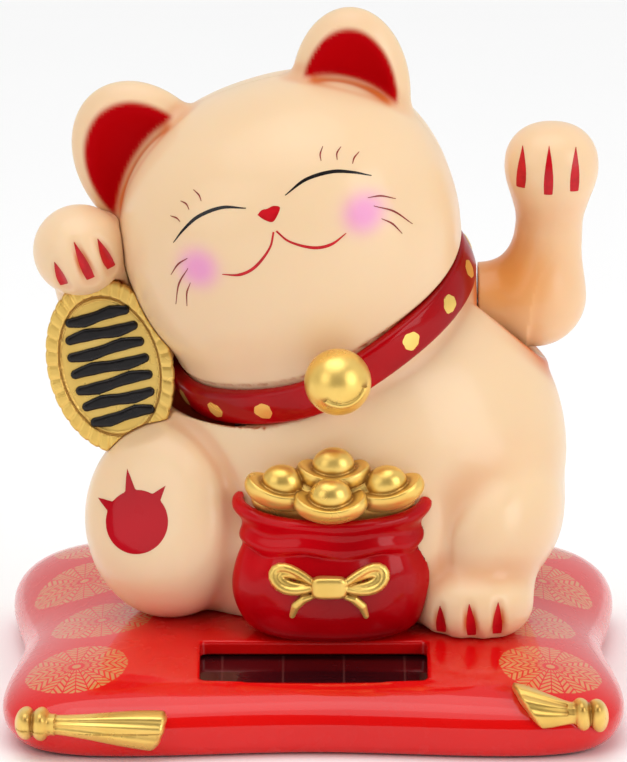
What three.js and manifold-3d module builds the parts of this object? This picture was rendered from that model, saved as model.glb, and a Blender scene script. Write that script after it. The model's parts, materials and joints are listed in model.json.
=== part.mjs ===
// A solar-powered beckoning cat figurine: a cat sitting on a cushion-shaped base, whose raised
// left arm swings on an axle that carries a magnet pendulum over a drive coil.
// Millimetres, +Z up, origin under the middle of the base, the cat faces -Y and +X is the
// viewer's right.
import * as THREE from "three";
import { mergeVertices } from "three/addons/utils/BufferGeometryUtils.js";
import Module from "manifold-3d";

const wasm = await Module();
wasm.setup();

// ---------------------------------------------------------------- driving dimensions
const GAP = 0.3; // left between pieces that touch on the real object
const WALL = 1.8; // moulded plastic wall
const DEG = Math.PI / 180;

// The cushion base
const BASE = {
  halfWidth: 44.7,
  halfDepth: 39.6,
  corner: 7, // exponent of the rounded outline
  pinch: 0.07, // how far the four sides draw in between the corners
  equator: 4.6, // height at which the cushion is widest
  crown: 8.9, // rise of the top above the equator
  under: 6.8, // fall of the underside below the equator, before it is cut flat
  tilt: 0.05, // rise of the top per mm towards the back
};
const PLATE_THICK = 2.4;
const PLATE_INSET = 4.5; // from the cushion's widest outline to the edge of the bottom plate
const SCREW_AT = [29, 25.5];

// The solar cell and its window, on the sloping front of the cushion
const WINDOW = { width: 32, depth: 11.6, at: [0, -25.6, 10.9], slope: 10.5 * DEG, recess: 2 };
const CELL = { width: 34, depth: 13.4, thick: 1.2 };

// The swing movement
const PIVOT = new THREE.Vector3(0, 7, 54.5); // a point on the axle, which runs along X
const AXLE_R = 1;
const RUNNING = 0.08; // radial clearance of the axle in its bearings
const MAGNET = { radius: 4.4, height: 3.2, bottom: 18, offset: 1 }; // offset balances the bent arm
const BRACKET_X = 10; // from the middle to each upright
const COIL = { radius: 6.2, bottom: 8.7, height: 6.2 };
const BOARD = { width: 16.6, depth: 24, thick: 1.2, bottom: 7.2 };

// The cat
const PARTING_Y = PIVOT.y; // the body shells meet on the axle's own plane
const HEAD = {
  at: [-3.3, 0.5, 67.6],
  semi: [24, 21.5, 21.6],
  squareness: 2.25, // exponent of its outline; 2 is an ellipsoid
  roll: -19.5 * DEG,
  yaw: -5 * DEG,
};
const EARS = [
  { at: [-16.7, 1, 15], semi: [9.9, 4.8, 12.8], lean: 0 },
  { at: [14.6, 1, 15.6], semi: [8.5, 4.6, 12.5], lean: 19 * DEG },
];
const EAR_RIM = 1.9;
const COLLAR = {
  at: [1.3, 2, 54.3],
  semi: [23.3, 21.4],
  roll: -25 * DEG,
  pitch: 14 * DEG,
  width: 5.4,
  proud: 1.7, // beyond the neck
};
const SHOULDER_X = 23.4; // the flat of the body that the arm turns against
const ARM_CLEAR_R = 7.3; // the round pocket in the body around the turning elbow
const ARM_X = 33.6; // middle of the raised forearm
const COIN = { at: [-28.9, -5.2, 48.7], semi: [8.9, 12.8], thick: 2.2, lean: -14 * DEG, tilt: -6 * DEG };
const BAG = { at: [2.6, -16.4, 0], flatten: 0.6, lean: 0.2 };
const BELL = { at: [3.4, -22.2, 50.8], radius: 4.7 };

// ---------------------------------------------------------------- materials
const plastic = (color, roughness = 0.25) =>
  new THREE.MeshStandardMaterial({ color, roughness, metalness: 0 });
const metal = (color, roughness = 0.35) =>
  new THREE.MeshStandardMaterial({ color, roughness, metalness: 1 });
const MAT = {
  cream: plastic(0xf3d9b1, 0.2),
  redBase: plastic(0xe2231a, 0.15),
  redPaint: plastic(0xc4101d, 0.2),
  gold: metal(0xd6ab4c, 0.35),
  black: plastic(0x262626, 0.5),
  white: plastic(0xe8e6e0, 0.5),
  steel: metal(0xb8babd, 0.3),
  magnet: metal(0x9a9ca0, 0.25),
  copper: metal(0xb8652c, 0.35),
  board: plastic(0x2f6b3a, 0.5),
  cell: plastic(0x2a0d10, 0.1),
  sleeve: plastic(0x2b3d7a, 0.4),
  redWire: plastic(0xb52020, 0.5),
  blackWire: plastic(0x1d1d1d, 0.5),
};

// ---------------------------------------------------------------- solids
// A closed geometry as a solid that can be joined and cut.
function solid(geometry) {
  const bare = geometry.clone();
  for (const name of Object.keys(bare.attributes)) if (name !== "position") bare.deleteAttribute(name);
  const merged = mergeVertices(bare, 1e-4);
  return new wasm.Manifold(
    new wasm.Mesh({
      numProp: 3,
      vertProperties: new Float32Array(merged.attributes.position.array),
      triVerts: new Uint32Array(merged.index.array),
    }),
  );
}

// A solid back as a geometry.
function geometryOf(made) {
  const m = made.getMesh();
  const xyz = new Float32Array(m.numVert * 3);
  for (let i = 0; i < m.numVert; i++) {
    xyz.set(m.vertProperties.subarray(i * m.numProp, i * m.numProp + 3), i * 3);
  }
  const g = new THREE.BufferGeometry();
  g.setAttribute("position", new THREE.BufferAttribute(xyz, 3));
  g.setIndex(new THREE.BufferAttribute(new Uint32Array(m.triVerts), 1));
  g.computeVertexNormals();
  return g;
}

const union = (geometries) => geometries.map(solid).reduce((a, b) => a.add(b));

// ---------------------------------------------------------------- simple shapes
function place(geometry, position, rotation = [0, 0, 0], order = "XYZ") {
  const m = new THREE.Matrix4().makeRotationFromEuler(new THREE.Euler(...rotation, order));
  m.setPosition(...position);
  return geometry.clone().applyMatrix4(m);
}

function ellipsoid(at, semi, { grow = 0, turn = [0, 0, 0], around = 28, rings = 18, exponent = 2 } = {}) {
  const g = new THREE.SphereGeometry(1, around, rings);
  g.rotateX(Math.PI / 2);
  if (exponent !== 2) {
    const p = g.attributes.position;
    for (let i = 0; i < p.count; i++) {
      const v = new THREE.Vector3().fromBufferAttribute(p, i);
      const sum = v.toArray().reduce((t, c) => t + Math.abs(c) ** exponent, 0);
      p.setXYZ(i, ...v.multiplyScalar(sum ** (-1 / exponent)).toArray());
    }
  }
  g.scale(semi[0] + grow, semi[1] + grow, semi[2] + grow);
  return place(g, at, turn);
}

function block(low, high) {
  const size = high.map((h, i) => h - low[i]);
  const g = new THREE.BoxGeometry(...size);
  return g.translate(...low.map((l, i) => l + size[i] / 2));
}

// A cylinder from one point to another.
function rod(from, to, radius, sides = 16, endRadius = radius) {
  const a = new THREE.Vector3(...from);
  const b = new THREE.Vector3(...to);
  const g = new THREE.CylinderGeometry(endRadius, radius, a.distanceTo(b), sides);
  const turn = new THREE.Quaternion().setFromUnitVectors(
    new THREE.Vector3(0, 1, 0),
    b.clone().sub(a).normalize(),
  );
  g.applyQuaternion(turn);
  return g.translate(...a.add(b).multiplyScalar(0.5).toArray());
}

// A limb with round ends that tapers from one radius to another.
function limb(from, to, r1, r2, around = 20) {
  const a = new THREE.Vector3(...from);
  const b = new THREE.Vector3(...to);
  const length = a.distanceTo(b);
  const lean = Math.asin((r1 - r2) / length);
  const steps = 5;
  const profile = [];
  const arc = (radius, centre, start, end) => {
    for (let i = 0; i <= steps; i++) {
      const t = start + ((end - start) * i) / steps;
      const r = Math.abs(Math.abs(t) - Math.PI / 2) < 1e-9 ? 0 : radius * Math.cos(t);
      profile.push(new THREE.Vector2(r, centre + radius * Math.sin(t)));
    }
  };
  arc(r1, 0, -Math.PI / 2, lean);
  arc(r2, length, lean, Math.PI / 2);
  const g = new THREE.LatheGeometry(profile, around);
  g.applyQuaternion(
    new THREE.Quaternion().setFromUnitVectors(new THREE.Vector3(0, 1, 0), b.clone().sub(a).normalize()),
  );
  return g.translate(...from);
}

// ---------------------------------------------------------------- the object's scene graph
const cat = new THREE.Group();
cat.name = "beckoning_cat";

function add(name, shape, material, parent = cat) {
  const geometry = shape.isBufferGeometry ? shape : geometryOf(shape);
  const m = new THREE.Mesh(geometry, material);
  m.name = name;
  parent.add(m);
  return m;
}

// ---------------------------------------------------------------- the cushion's surface
// Plan radius of the cushion in the direction theta: a rounded rectangle whose sides draw in.
function outlineRadius(theta) {
  const { halfWidth: a, halfDepth: b, corner: n, pinch } = BASE;
  const c = Math.cos(theta);
  const s = Math.sin(theta);
  const rounded = (Math.abs(c / a) ** n + Math.abs(s / b) ** n) ** (-1 / n);
  const phi = Math.atan2(s / b, c / a);
  return rounded * (1 - pinch * Math.cos(2 * phi) ** 2);
}

// Height of the cushion's top over a point of its plan.
function cushionTop(x, y) {
  const share = Math.min(1, Math.hypot(x, y) / outlineRadius(Math.atan2(y, x)));
  return BASE.equator + (BASE.crown + BASE.tilt * y) * Math.sqrt(1 - share ** 4);
}

// The whole cushion as a solid, grown or shrunk all round by grow.
function cushion(grow = 0, around = 48, rings = 12) {
  const g = new THREE.SphereGeometry(1, around, rings);
  g.rotateX(Math.PI / 2);
  const p = g.attributes.position;
  for (let i = 0; i < p.count; i++) {
    const level = p.getZ(i);
    const flat = Math.hypot(p.getX(i), p.getY(i));
    const theta = Math.atan2(p.getY(i), p.getX(i));
    const share = flat < 1e-6 ? 0 : Math.sqrt(flat); // rings bunch towards the rim
    const radius = share * (outlineRadius(theta) + grow);
    const x = radius * Math.cos(theta);
    const y = radius * Math.sin(theta);
    const rim = Math.sqrt(Math.max(0, 1 - share ** (level > 0 ? 4 : 9)));
    const rise = level > 0 ? BASE.crown + BASE.tilt * y + grow : -(BASE.under + grow);
    p.setXYZ(i, flat < 1e-6 ? 0 : x, flat < 1e-6 ? 0 : y, BASE.equator + rise * rim);
  }
  return g;
}

function outlineShape(inset, steps = 48) {
  const points = [];
  for (let i = 0; i < steps; i++) {
    const t = (2 * Math.PI * i) / steps;
    const r = outlineRadius(t) - inset;
    points.push(new THREE.Vector2(r * Math.cos(t), r * Math.sin(t)));
  }
  return new THREE.Shape(points);
}

function slab(shape, bottom, top) {
  const g = new THREE.ExtrudeGeometry(shape, { depth: top - bottom, bevelEnabled: false });
  return g.translate(0, 0, bottom);
}

// ---------------------------------------------------------------- base: cushion, plate, screws
const screwCentres = [];
for (const sx of [-1, 1]) for (const sy of [-1, 1]) screwCentres.push([sx * SCREW_AT[0], sy * SCREW_AT[1]]);

const windowFrame = { at: WINDOW.at, turn: [WINDOW.slope, 0, 0] };
function windowBlock(width, depth, below, above) {
  const g = block([-width / 2, -depth / 2, below], [width / 2, depth / 2, above]);
  return place(g, windowFrame.at, windowFrame.turn);
}

function makeCushion() {
  let made = solid(cushion());
  made = made.subtract(solid(block([-60, -60, -20], [60, 60, 0]))); // flat underside
  let hollow = solid(cushion(-WALL, 32, 8));
  hollow = hollow.subtract(solid(block([-60, -60, -20], [60, 60, PLATE_THICK])));
  const bezel = solid(windowBlock(CELL.width + 4, CELL.depth + 4, -6.2, 3)).intersect(solid(cushion(-1, 32, 8)));
  hollow = hollow.subtract(bezel);
  for (const [x, y] of screwCentres) {
    hollow = hollow.subtract(solid(rod([x, y, PLATE_THICK + GAP], [x, y, 14], 2.6, 12)));
  }
  made = made.subtract(hollow);
  made = made.subtract(solid(slab(outlineShape(PLATE_INSET - 0.4), -1, PLATE_THICK + GAP)));
  for (const [x, y] of screwCentres) {
    made = made.subtract(solid(rod([x, y, 0], [x, y, 8.4], 1.35, 12)));
  }
  made = made.subtract(solid(windowBlock(WINDOW.width, WINDOW.depth, -5, 6))); // light window
  made = made.subtract(solid(windowBlock(CELL.width + 2 * GAP, CELL.depth + 2 * GAP, -9, -WINDOW.recess)));
  // the well under the cat, for the bracket and the pendulum
  made = made.subtract(solid(block([-12, -6.2, 5], [12, 20.2, 20])));
  return made;
}
add("base_cushion", makeCushion(), MAT.redBase);

function makePlate() {
  let made = solid(slab(outlineShape(PLATE_INSET), 0, PLATE_THICK));
  for (const [x, y] of screwCentres) {
    made = made.subtract(solid(rod([x, y, -1], [x, y, 1.5], 2.7, 14)));
    made = made.subtract(solid(rod([x, y, -1], [x, y, 5], 1.4, 12)));
  }
  return made;
}
add("base_plate", makePlate(), MAT.redBase);

function screw(length) {
  const profile = [
    [0, 0.45], [0.55, 0.45], [0.9, 0.1], [1.7, 0.1], [2.2, 0.5], [2.2, 1.1], [1, 1.1],
    [1, length - 1], [0.3, length], [0, length],
  ];
  const g = new THREE.LatheGeometry(profile.map(([r, z]) => new THREE.Vector2(r, z)), 12);
  return g.rotateX(Math.PI / 2);
}
screwCentres.forEach(([x, y], i) => {
  add(`base_screw_${i + 1}`, screw(8), MAT.steel).position.set(x, y, 0);
});

// ---------------------------------------------------------------- solar cell
const cell = add("solar_cell", new THREE.BoxGeometry(CELL.width, CELL.depth, CELL.thick), MAT.cell);
const windowNormal = new THREE.Vector3(0, -Math.sin(WINDOW.slope), Math.cos(WINDOW.slope));
cell.position.set(...WINDOW.at).addScaledVector(windowNormal, -(WINDOW.recess + GAP + CELL.thick / 2));
cell.rotation.x = WINDOW.slope;

// ---------------------------------------------------------------- swing movement
const foot = PLATE_THICK + GAP;

function makeBracket() {
  const half = BRACKET_X + 1.3;
  let made = solid(block([-half, PIVOT.y - 5, foot], [half, PIVOT.y + 5, foot + 2.2]));
  for (const side of [-1, 1]) {
    const x = side * BRACKET_X;
    made = made.add(solid(block([x - 1.3, PIVOT.y - 4, foot], [x + 1.3, PIVOT.y + 4, PIVOT.z - 3])));
    made = made.add(solid(rod([x - 1.3, PIVOT.y, PIVOT.z - 1], [x + 1.3, PIVOT.y, PIVOT.z - 1], 4, 16)));
  }
  const seat = BOARD.bottom - GAP;
  made = made.add(solid(block([-5, PIVOT.y - 4, foot + 1], [5, PIVOT.y + 4, seat]))); // carries the board
  return made.subtract(solid(rod([-20, PIVOT.y, PIVOT.z], [20, PIVOT.y, PIVOT.z], AXLE_R + RUNNING, 24)));
}
add("axle_bracket", makeBracket(), MAT.white);

const board = add("circuit_board", new THREE.BoxGeometry(BOARD.width, BOARD.depth, BOARD.thick), MAT.board);
board.position.set(0, PIVOT.y, BOARD.bottom + BOARD.thick / 2);

// Flanged spool, then the winding that fills it.
function spoolProfile(hub, flange) {
  const { bottom, height } = COIL;
  return [
    [0, 0], [flange, 0], [flange, 0.8], [hub, 0.8], [hub, height - 0.8], [flange, height - 0.8],
    [flange, height], [0, height],
  ].map(([r, z]) => new THREE.Vector2(r, bottom + z));
}
const bobbin = new THREE.LatheGeometry(spoolProfile(2, COIL.radius), 20).rotateX(Math.PI / 2);
add("coil_bobbin", bobbin, MAT.white).position.y = PIVOT.y;

const winding = new THREE.LatheGeometry(
  [
    [2 + GAP, 0.8 + GAP], [COIL.radius - 0.4, 0.8 + GAP], [COIL.radius - 0.4, COIL.height - 0.8 - GAP],
    [2 + GAP, COIL.height - 0.8 - GAP], [2 + GAP, 0.8 + GAP],
  ].map(([r, z]) => new THREE.Vector2(r, COIL.bottom + z)),
  20,
).rotateX(Math.PI / 2);
add("drive_coil", winding, MAT.copper).position.y = PIVOT.y;

const boardTop = BOARD.bottom + BOARD.thick;
const can = new THREE.LatheGeometry(
  [[0, 0], [2.1, 0], [2.4, 0.4], [2.4, 4.8], [2.1, 5.2], [0, 5.2]].map(([r, z]) => new THREE.Vector2(r, z)),
  14,
).rotateX(Math.PI / 2);
add("capacitor", can, MAT.sleeve).position.set(4.6, PIVOT.y - 9.2, boardTop + GAP);
const chip = add("driver_chip", new THREE.BoxGeometry(5, 4, 1.5), MAT.black);
chip.position.set(-3.6, PIVOT.y - 9.2, boardTop + GAP + 0.75);

// Two leads from the cell's back to the front edge of the board.
function lead(x) {
  const { at, slope } = WINDOW;
  const back = WINDOW.recess + 2 * GAP + CELL.thick + 0.2;
  const start = new THREE.Vector3(x * 2, at[1] + back * Math.sin(slope) + 2, at[2] - back * Math.cos(slope));
  const route = new THREE.CatmullRomCurve3([
    start,
    new THREE.Vector3(x * 2, start.y + 2.5, start.z - 1.6),
    new THREE.Vector3(x * 1.5, -13, 5.6),
    new THREE.Vector3(x, -9, BOARD.bottom + 0.2),
    new THREE.Vector3(x, PIVOT.y - BOARD.depth / 2 - GAP, BOARD.bottom + BOARD.thick / 2),
  ]);
  const section = new THREE.Shape();
  section.absarc(0, 0, 0.5, 0, 2 * Math.PI);
  return new THREE.ExtrudeGeometry(section, { steps: 14, curveSegments: 4, extrudePath: route });
}
add("red_lead", lead(3), MAT.redWire);
add("black_lead", lead(-3), MAT.blackWire);

add("axle", rod([-14.4, PIVOT.y, PIVOT.z], [29.2, PIVOT.y, PIVOT.z], AXLE_R, 12), MAT.steel);

function makeRetainer() {
  const disc = solid(rod([-13.6, PIVOT.y, PIVOT.z], [-12, PIVOT.y, PIVOT.z], 2.6, 14));
  return disc.subtract(solid(rod([-20, PIVOT.y, PIVOT.z], [0, PIVOT.y, PIVOT.z], AXLE_R + GAP, 12)));
}
add("axle_retainer", makeRetainer(), MAT.black);

function makePendulum() {
  const cup = MAGNET.bottom + MAGNET.height + GAP;
  let made = solid(rod([-3.6, PIVOT.y, PIVOT.z], [3.6, PIVOT.y, PIVOT.z], 3.2, 16));
  made = made.add(solid(block([-1.6, PIVOT.y - 1.7, cup + 1], [1.6, PIVOT.y + 1.7, PIVOT.z])));
  const magnetY = PIVOT.y + MAGNET.offset;
  made = made.add(solid(rod([0, magnetY, MAGNET.bottom + 1], [0, magnetY, cup + 1.4], MAGNET.radius + 1.4, 20)));
  made = made.subtract(solid(rod([0, magnetY, 0], [0, magnetY, cup], MAGNET.radius + GAP, 20)));
  return made.subtract(solid(rod([-20, PIVOT.y, PIVOT.z], [20, PIVOT.y, PIVOT.z], AXLE_R + GAP, 12)));
}
add("pendulum", makePendulum(), MAT.black);
add(
  "magnet",
  rod([0, PIVOT.y + MAGNET.offset, MAGNET.bottom], [0, PIVOT.y + MAGNET.offset, MAGNET.bottom + MAGNET.height],
    MAGNET.radius, 20),
  MAT.magnet,
);

// ---------------------------------------------------------------- head
const headGroup = new THREE.Group();
headGroup.position.set(...HEAD.at);
headGroup.rotation.set(0, HEAD.roll, HEAD.yaw, "YZX");
headGroup.updateMatrixWorld(true);
cat.add(headGroup);

// Skull in the head's own frame.
function skull(grow = 0, around = 26, rings = 16) {
  return ellipsoid([0, 0, 0], HEAD.semi, { grow, around, rings, exponent: HEAD.squareness });
}
const inWorld = (geometry, group = headGroup) => geometry.clone().applyMatrix4(group.matrixWorld);
const fromWorld = (geometry, group = headGroup) =>
  geometry.clone().applyMatrix4(group.matrixWorld.clone().invert());

// The collar's own frame: its ring lies in the XY plane of this group.
const collarGroup = new THREE.Group();
collarGroup.position.set(...COLLAR.at);
collarGroup.rotation.set(COLLAR.pitch, COLLAR.roll, 0, "YXZ");
collarGroup.updateMatrixWorld(true);
cat.add(collarGroup);

const neckSemi = [COLLAR.semi[0] - COLLAR.proud - GAP, COLLAR.semi[1] - COLLAR.proud - GAP, 12];
const neck = (grow = 0, around = 26, rings = 10) => ellipsoid([0, 0, 0], neckSemi, { grow, around, rings });

// A slice of the collar's frame, as wide as the collar's inside.
function neckSlice(low, high) {
  const g = new THREE.CylinderGeometry(1, 1, high - low, 32).rotateX(Math.PI / 2);
  g.scale(neckSemi[0] + 0.6, neckSemi[1] + 0.6, 1);
  return g.translate(0, 0, (low + high) / 2);
}

function makeEar(ear) {
  const turn = [0, ear.lean, 0];
  const outer = solid(ellipsoid(ear.at, ear.semi, { turn, around: 16, rings: 12 }));
  const scoopAt = [ear.at[0], ear.at[1] - ear.semi[1], ear.at[2] - 0.6];
  const scoopSemi = [ear.semi[0] - EAR_RIM, ear.semi[1] - 0.8, ear.semi[2] - EAR_RIM];
  return outer.subtract(solid(ellipsoid(scoopAt, scoopSemi, { turn, around: 16, rings: 10 })));
}
// Cut a solid at a plane of constant y, leaving a fine gap between the two halves.
const halves = (made, y) => [
  made.subtract(solid(block([-80, y - GAP / 2, -80], [80, 80, 140]))),
  made.subtract(solid(block([-80, -80, -80], [80, y + GAP / 2, 140]))),
];
function makeHead() {
  const inHead = (geometry) => solid(fromWorld(inWorld(geometry, collarGroup)));
  let made = solid(skull()).add(inHead(neck()));
  made = made.subtract(inHead(block([-60, -60, -60], [60, 60, GAP / 2]))); // ends inside the collar
  for (const ear of EARS) made = made.add(makeEar(ear));
  return made.subtract(solid(skull(-WALL, 16, 10))).subtract(inHead(neck(-WALL, 16, 8)));
}
const [headFront, headBack] = halves(makeHead(), EARS[0].at[1]);
add("head_front", headFront, MAT.cream, headGroup);
add("head_back", headBack, MAT.cream, headGroup);

// ---------------------------------------------------------------- body
function bodyShapes(grow = 0, fine = 1) {
  const ball = (at, semi, around, rings) =>
    ellipsoid(at, semi, { grow, around: Math.round(around * fine), rings: Math.round(rings * fine) });
  return [
    ball([5.3, 5.2, 34.5], [30.6, 22.8, 28], 26, 16), // torso
    ball([4.2, 5.5, 24.5], [32.2, 25.2, 18.5], 24, 12), // seat
    ball([22.6, -1.5, 27], [13.4, 16.5, 14.8], 18, 12), // left haunch, on the viewer's right
    ball([23.4, -12.4, 17.4], [8.6, 9, 6], 16, 10), // left foot
    ball([-20.4, -6.4, 26.6], [12.2, 13.8, 14.4], 20, 14), // right leg, with its sole to the front
    inWorld(neck(grow, Math.round(26 * fine), Math.round(10 * fine)), collarGroup),
  ];
}
const tail = ellipsoid([-6, 28, 21], [8.5, 5.4, 4.4], { turn: [0, 0.5, 0.25], around: 14, rings: 10 });

const SOLE = { at: [-23.4, -15.9, 30.5], facing: new THREE.Vector3(-0.35, -0.88, 0.33).normalize() };
function soleCut(deeper = 0) {
  const g = new THREE.BoxGeometry(36, 14, 36).translate(0, deeper - 7, 0);
  g.applyQuaternion(new THREE.Quaternion().setFromUnitVectors(new THREE.Vector3(0, -1, 0), SOLE.facing));
  return solid(g.translate(...SOLE.at));
}

const aroundAxle = (x1, x2, radius, sides = 24) =>
  solid(rod([x1, PIVOT.y, PIVOT.z], [x2, PIVOT.y, PIVOT.z], radius, sides));

const headOutside = solid(inWorld(skull(GAP))).add(
  solid(inWorld(neck(GAP), collarGroup)).intersect(solid(inWorld(neckSlice(0, 30), collarGroup))),
);
// The outside of the body alone, for cutting what rests on it.
const boss = (grow) => aroundAxle(SHOULDER_X - 12, SHOULDER_X + grow, 6.4 + grow, 18);
const bodyOutside = union(bodyShapes(GAP)).subtract(soleCut()).add(boss(GAP));

function makeBody() {
  let made = union([...bodyShapes(), tail]).subtract(soleCut());
  made = made.add(boss(0));
  made = made.subtract(aroundAxle(SHOULDER_X, 50, ARM_CLEAR_R));
  made = made.subtract(solid(inWorld(neckSlice(-GAP / 2, 40), collarGroup))); // open under the head
  made = made.subtract(headOutside);
  made = made.subtract(solid(cushion(GAP)));
  const bearing = aroundAxle(SHOULDER_X - 4, SHOULDER_X + 1, 6.4, 18);
  const inside = union(bodyShapes(-WALL, 0.6)).subtract(bearing).subtract(soleCut(WALL));
  return made.subtract(inside).subtract(aroundAxle(0, 50, AXLE_R + 0.5, 12));
}
const [bodyFront, bodyBack] = halves(makeBody(), PARTING_Y);
add("body_front", bodyFront, MAT.cream);
add("body_back", bodyBack, MAT.cream);

// ---------------------------------------------------------------- collar and bell
// The collar's ring, solid across or with a hole, in its own frame.
function ring(grow, hole) {
  const half = COLLAR.width / 2 + grow;
  const profile = [[hole, -half], [0.975, -half], [1, -half + 0.7], [1, half - 0.7], [0.975, half], [hole, half]];
  if (hole > 0) profile.push([hole, -half]);
  const g = new THREE.LatheGeometry(profile.map(([r, z]) => new THREE.Vector2(r, z)), 36);
  g.rotateX(Math.PI / 2);
  return g.scale(COLLAR.semi[0] + grow, COLLAR.semi[1] + grow, 1);
}
const largest = (made) => made.decompose().sort((a, b) => b.volume() - a.volume())[0];

function makeCollar() {
  const made = solid(inWorld(ring(0, 0.75), collarGroup)).subtract(bodyOutside).subtract(headOutside);
  return largest(made.subtract(aroundAxle(SHOULDER_X - GAP, 50, ARM_CLEAR_R)));
}
add("collar", makeCollar(), MAT.redPaint);

function makeBell() {
  const ball = solid(ellipsoid(BELL.at, [1, 1, 1].map((v) => v * BELL.radius), { around: 20, rings: 14 }));
  return largest(ball.subtract(headOutside).subtract(bodyOutside).subtract(solid(inWorld(ring(GAP, 0), collarGroup))));
}
add("bell", makeBell(), MAT.gold);

// ---------------------------------------------------------------- raised left arm, which swings
function armShapes(grow = 0, around = 16) {
  const y = PIVOT.y;
  const z = PIVOT.z;
  return [
    rod([SHOULDER_X + 0.4 - grow, y, z], [31, y, z], 6 + grow, around, 6.2 + grow),
    ellipsoid([32, y, z + 0.6], [6.3, 6.3, 6.3], { grow, around, rings: 10 }),
    limb([33, y, z + 2], [ARM_X - 0.2, y - 1, 68], 5.5 + grow, 4.9 + grow, around),
    ellipsoid([ARM_X + 0.3, y - 2.6, 75.8], [6.8, 6.6, 6.3], { grow, around, rings: 10 }),
  ];
}
function makeArm() {
  const wall = 1.2;
  let made = union(armShapes());
  const inside = union(armShapes(-wall, 12)).subtract(solid(block([20, -30, 20], [31.5, 40, 64])));
  made = made.subtract(inside);
  return made.subtract(aroundAxle(0, 33, AXLE_R + GAP, 12));
}
add("waving_arm", makeArm(), MAT.cream);

// ---------------------------------------------------------------- right arm and its coin
const coinGroup = new THREE.Group();
coinGroup.position.set(...COIN.at);
coinGroup.rotation.set(COIN.tilt, COIN.lean, 0, "YXZ");
coinGroup.updateMatrixWorld(true);
cat.add(coinGroup);

function coinBlank(grow = 0) {
  const g = new THREE.CylinderGeometry(1, 1, COIN.thick + 2 * grow, 32);
  g.scale(COIN.semi[0] + grow, 1, COIN.semi[1] + grow);
  return g;
}
function makeCoin() {
  const local = (geometry) => solid(fromWorld(geometry, coinGroup));
  let made = solid(coinBlank());
  const well = new THREE.CylinderGeometry(1, 1, 2, 28);
  well.scale(COIN.semi[0] - 2.2, 1, COIN.semi[1] - 2.2);
  made = made.subtract(solid(well.translate(0, -COIN.thick / 2 - 1 + 0.5, 0)));
  made = made.subtract(local(inWorld(skull(GAP))));
  for (const shape of bodyShapes(GAP)) made = made.subtract(local(shape));
  return largest(made);
}
add("coin", makeCoin(), MAT.gold, coinGroup);

function makeCoinArm() {
  let made = union([
    ellipsoid([-33.6, -3.2, 65.2], [6.2, 6.6, 6.4], { around: 16, rings: 12 }), // paw
    limb([-33, 0.5, 64], [-29.5, 5, 50], 5, 5.6, 12), // forearm behind the coin
    limb([-29.5, 5, 50], [-20, 5, 45], 5.6, 6, 12), // shoulder
  ]);
  made = made.subtract(solid(inWorld(coinBlank(GAP), coinGroup)));
  made = made.subtract(solid(inWorld(ring(GAP, 0), collarGroup)));
  return largest(made.subtract(bodyOutside).subtract(headOutside));
}
add("coin_arm", makeCoinArm(), MAT.cream);

// ---------------------------------------------------------------- money bag, ingots, bow
function bagShape(grow = 0) {
  const profile = [
    [0, 11], [8.5, 11.2], [12.2, 14.6], [14, 19.6], [13.8, 23], [12.7, 26.6], [12.6, 28], [13.4, 30],
    [13.7, 32], [12.6, 32.8], [11.4, 31.4], [0, 31],
  ].map(([r, z]) => new THREE.Vector2(r === 0 ? 0 : r + grow, z));
  const g = new THREE.LatheGeometry(profile, 28).rotateX(Math.PI / 2);
  g.scale(1, BAG.flatten, 1);
  const p = g.attributes.position;
  for (let i = 0; i < p.count; i++) {
    // the mouth leans to the front
    p.setZ(i, p.getZ(i) + BAG.lean * p.getY(i) * Math.max(0, (p.getZ(i) - 20) / 12));
  }
  return g.translate(...BAG.at);
}
const cushionOutside = solid(cushion(GAP));
add("money_bag", solid(bagShape()).subtract(bodyOutside).subtract(cushionOutside), MAT.redPaint);

function ingot([x, y, z], turn) {
  const boat = ellipsoid([0, 0, 0], [4.9, 3.3, 2.7], { around: 12, rings: 8 });
  const dish = ellipsoid([0, 0, 3.4], [5.6, 4, 3.2], { around: 12, rings: 6 });
  const dome = ellipsoid([0, 0, 1], [2.5, 2.3, 2.3], { around: 10, rings: 6 });
  const whole = geometryOf(solid(boat).subtract(solid(dish)).add(solid(dome)));
  return place(whole, [x, y, z], turn);
}
const INGOTS = [
  { at: [2.8, -19.6, 37.8], turn: [0.15, 0, 0] }, // top of the pile
  { at: [-4.7, -20.2, 34.6], turn: [0.15, 0.2, 0] },
  { at: [10.6, -20.2, 34.6], turn: [0.15, -0.2, 0] },
  { at: [2.4, -23, 33], turn: [0.25, 0, 0] }, // front
];
function makeIngots() {
  const heap = ellipsoid([2.8, -19.8, 33.6], [9, 3.6, 4.4], { around: 16, rings: 8 });
  const pile = union([heap, ...INGOTS.map((i) => ingot(i.at, i.turn))]);
  const bag = solid(bagShape(GAP)).add(solid(bagShape(GAP).translate(0, 0, 1.5 * GAP)));
  return largest(pile.subtract(bodyOutside).subtract(bag));
}
add("ingot_pile", makeIngots(), MAT.gold);

function makeBow() {
  const front = BAG.at[1] - 14 * BAG.flatten;
  const x = BAG.at[0] - 0.4;
  const shapes = [block([x - 2.4, front - 1.4, 19.8], [x + 2.4, front + 3, 22.6])];
  for (const side of [-1, 1]) {
    shapes.push(
      ellipsoid([x + side * 5.6, front + 0.6, 21.8], [3.6, 1.8, 1.7],
        { turn: [0, -side * 0.25, side * 0.25], around: 12, rings: 8 }),
      limb([x + side * 2, front - 0.1, 20], [x + side * 4.6, front + 0.5, 16.6], 0.9, 0.7, 8),
    );
  }
  return largest(union(shapes).subtract(solid(bagShape(GAP))));
}
add("bow", makeBow(), MAT.gold);

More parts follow.
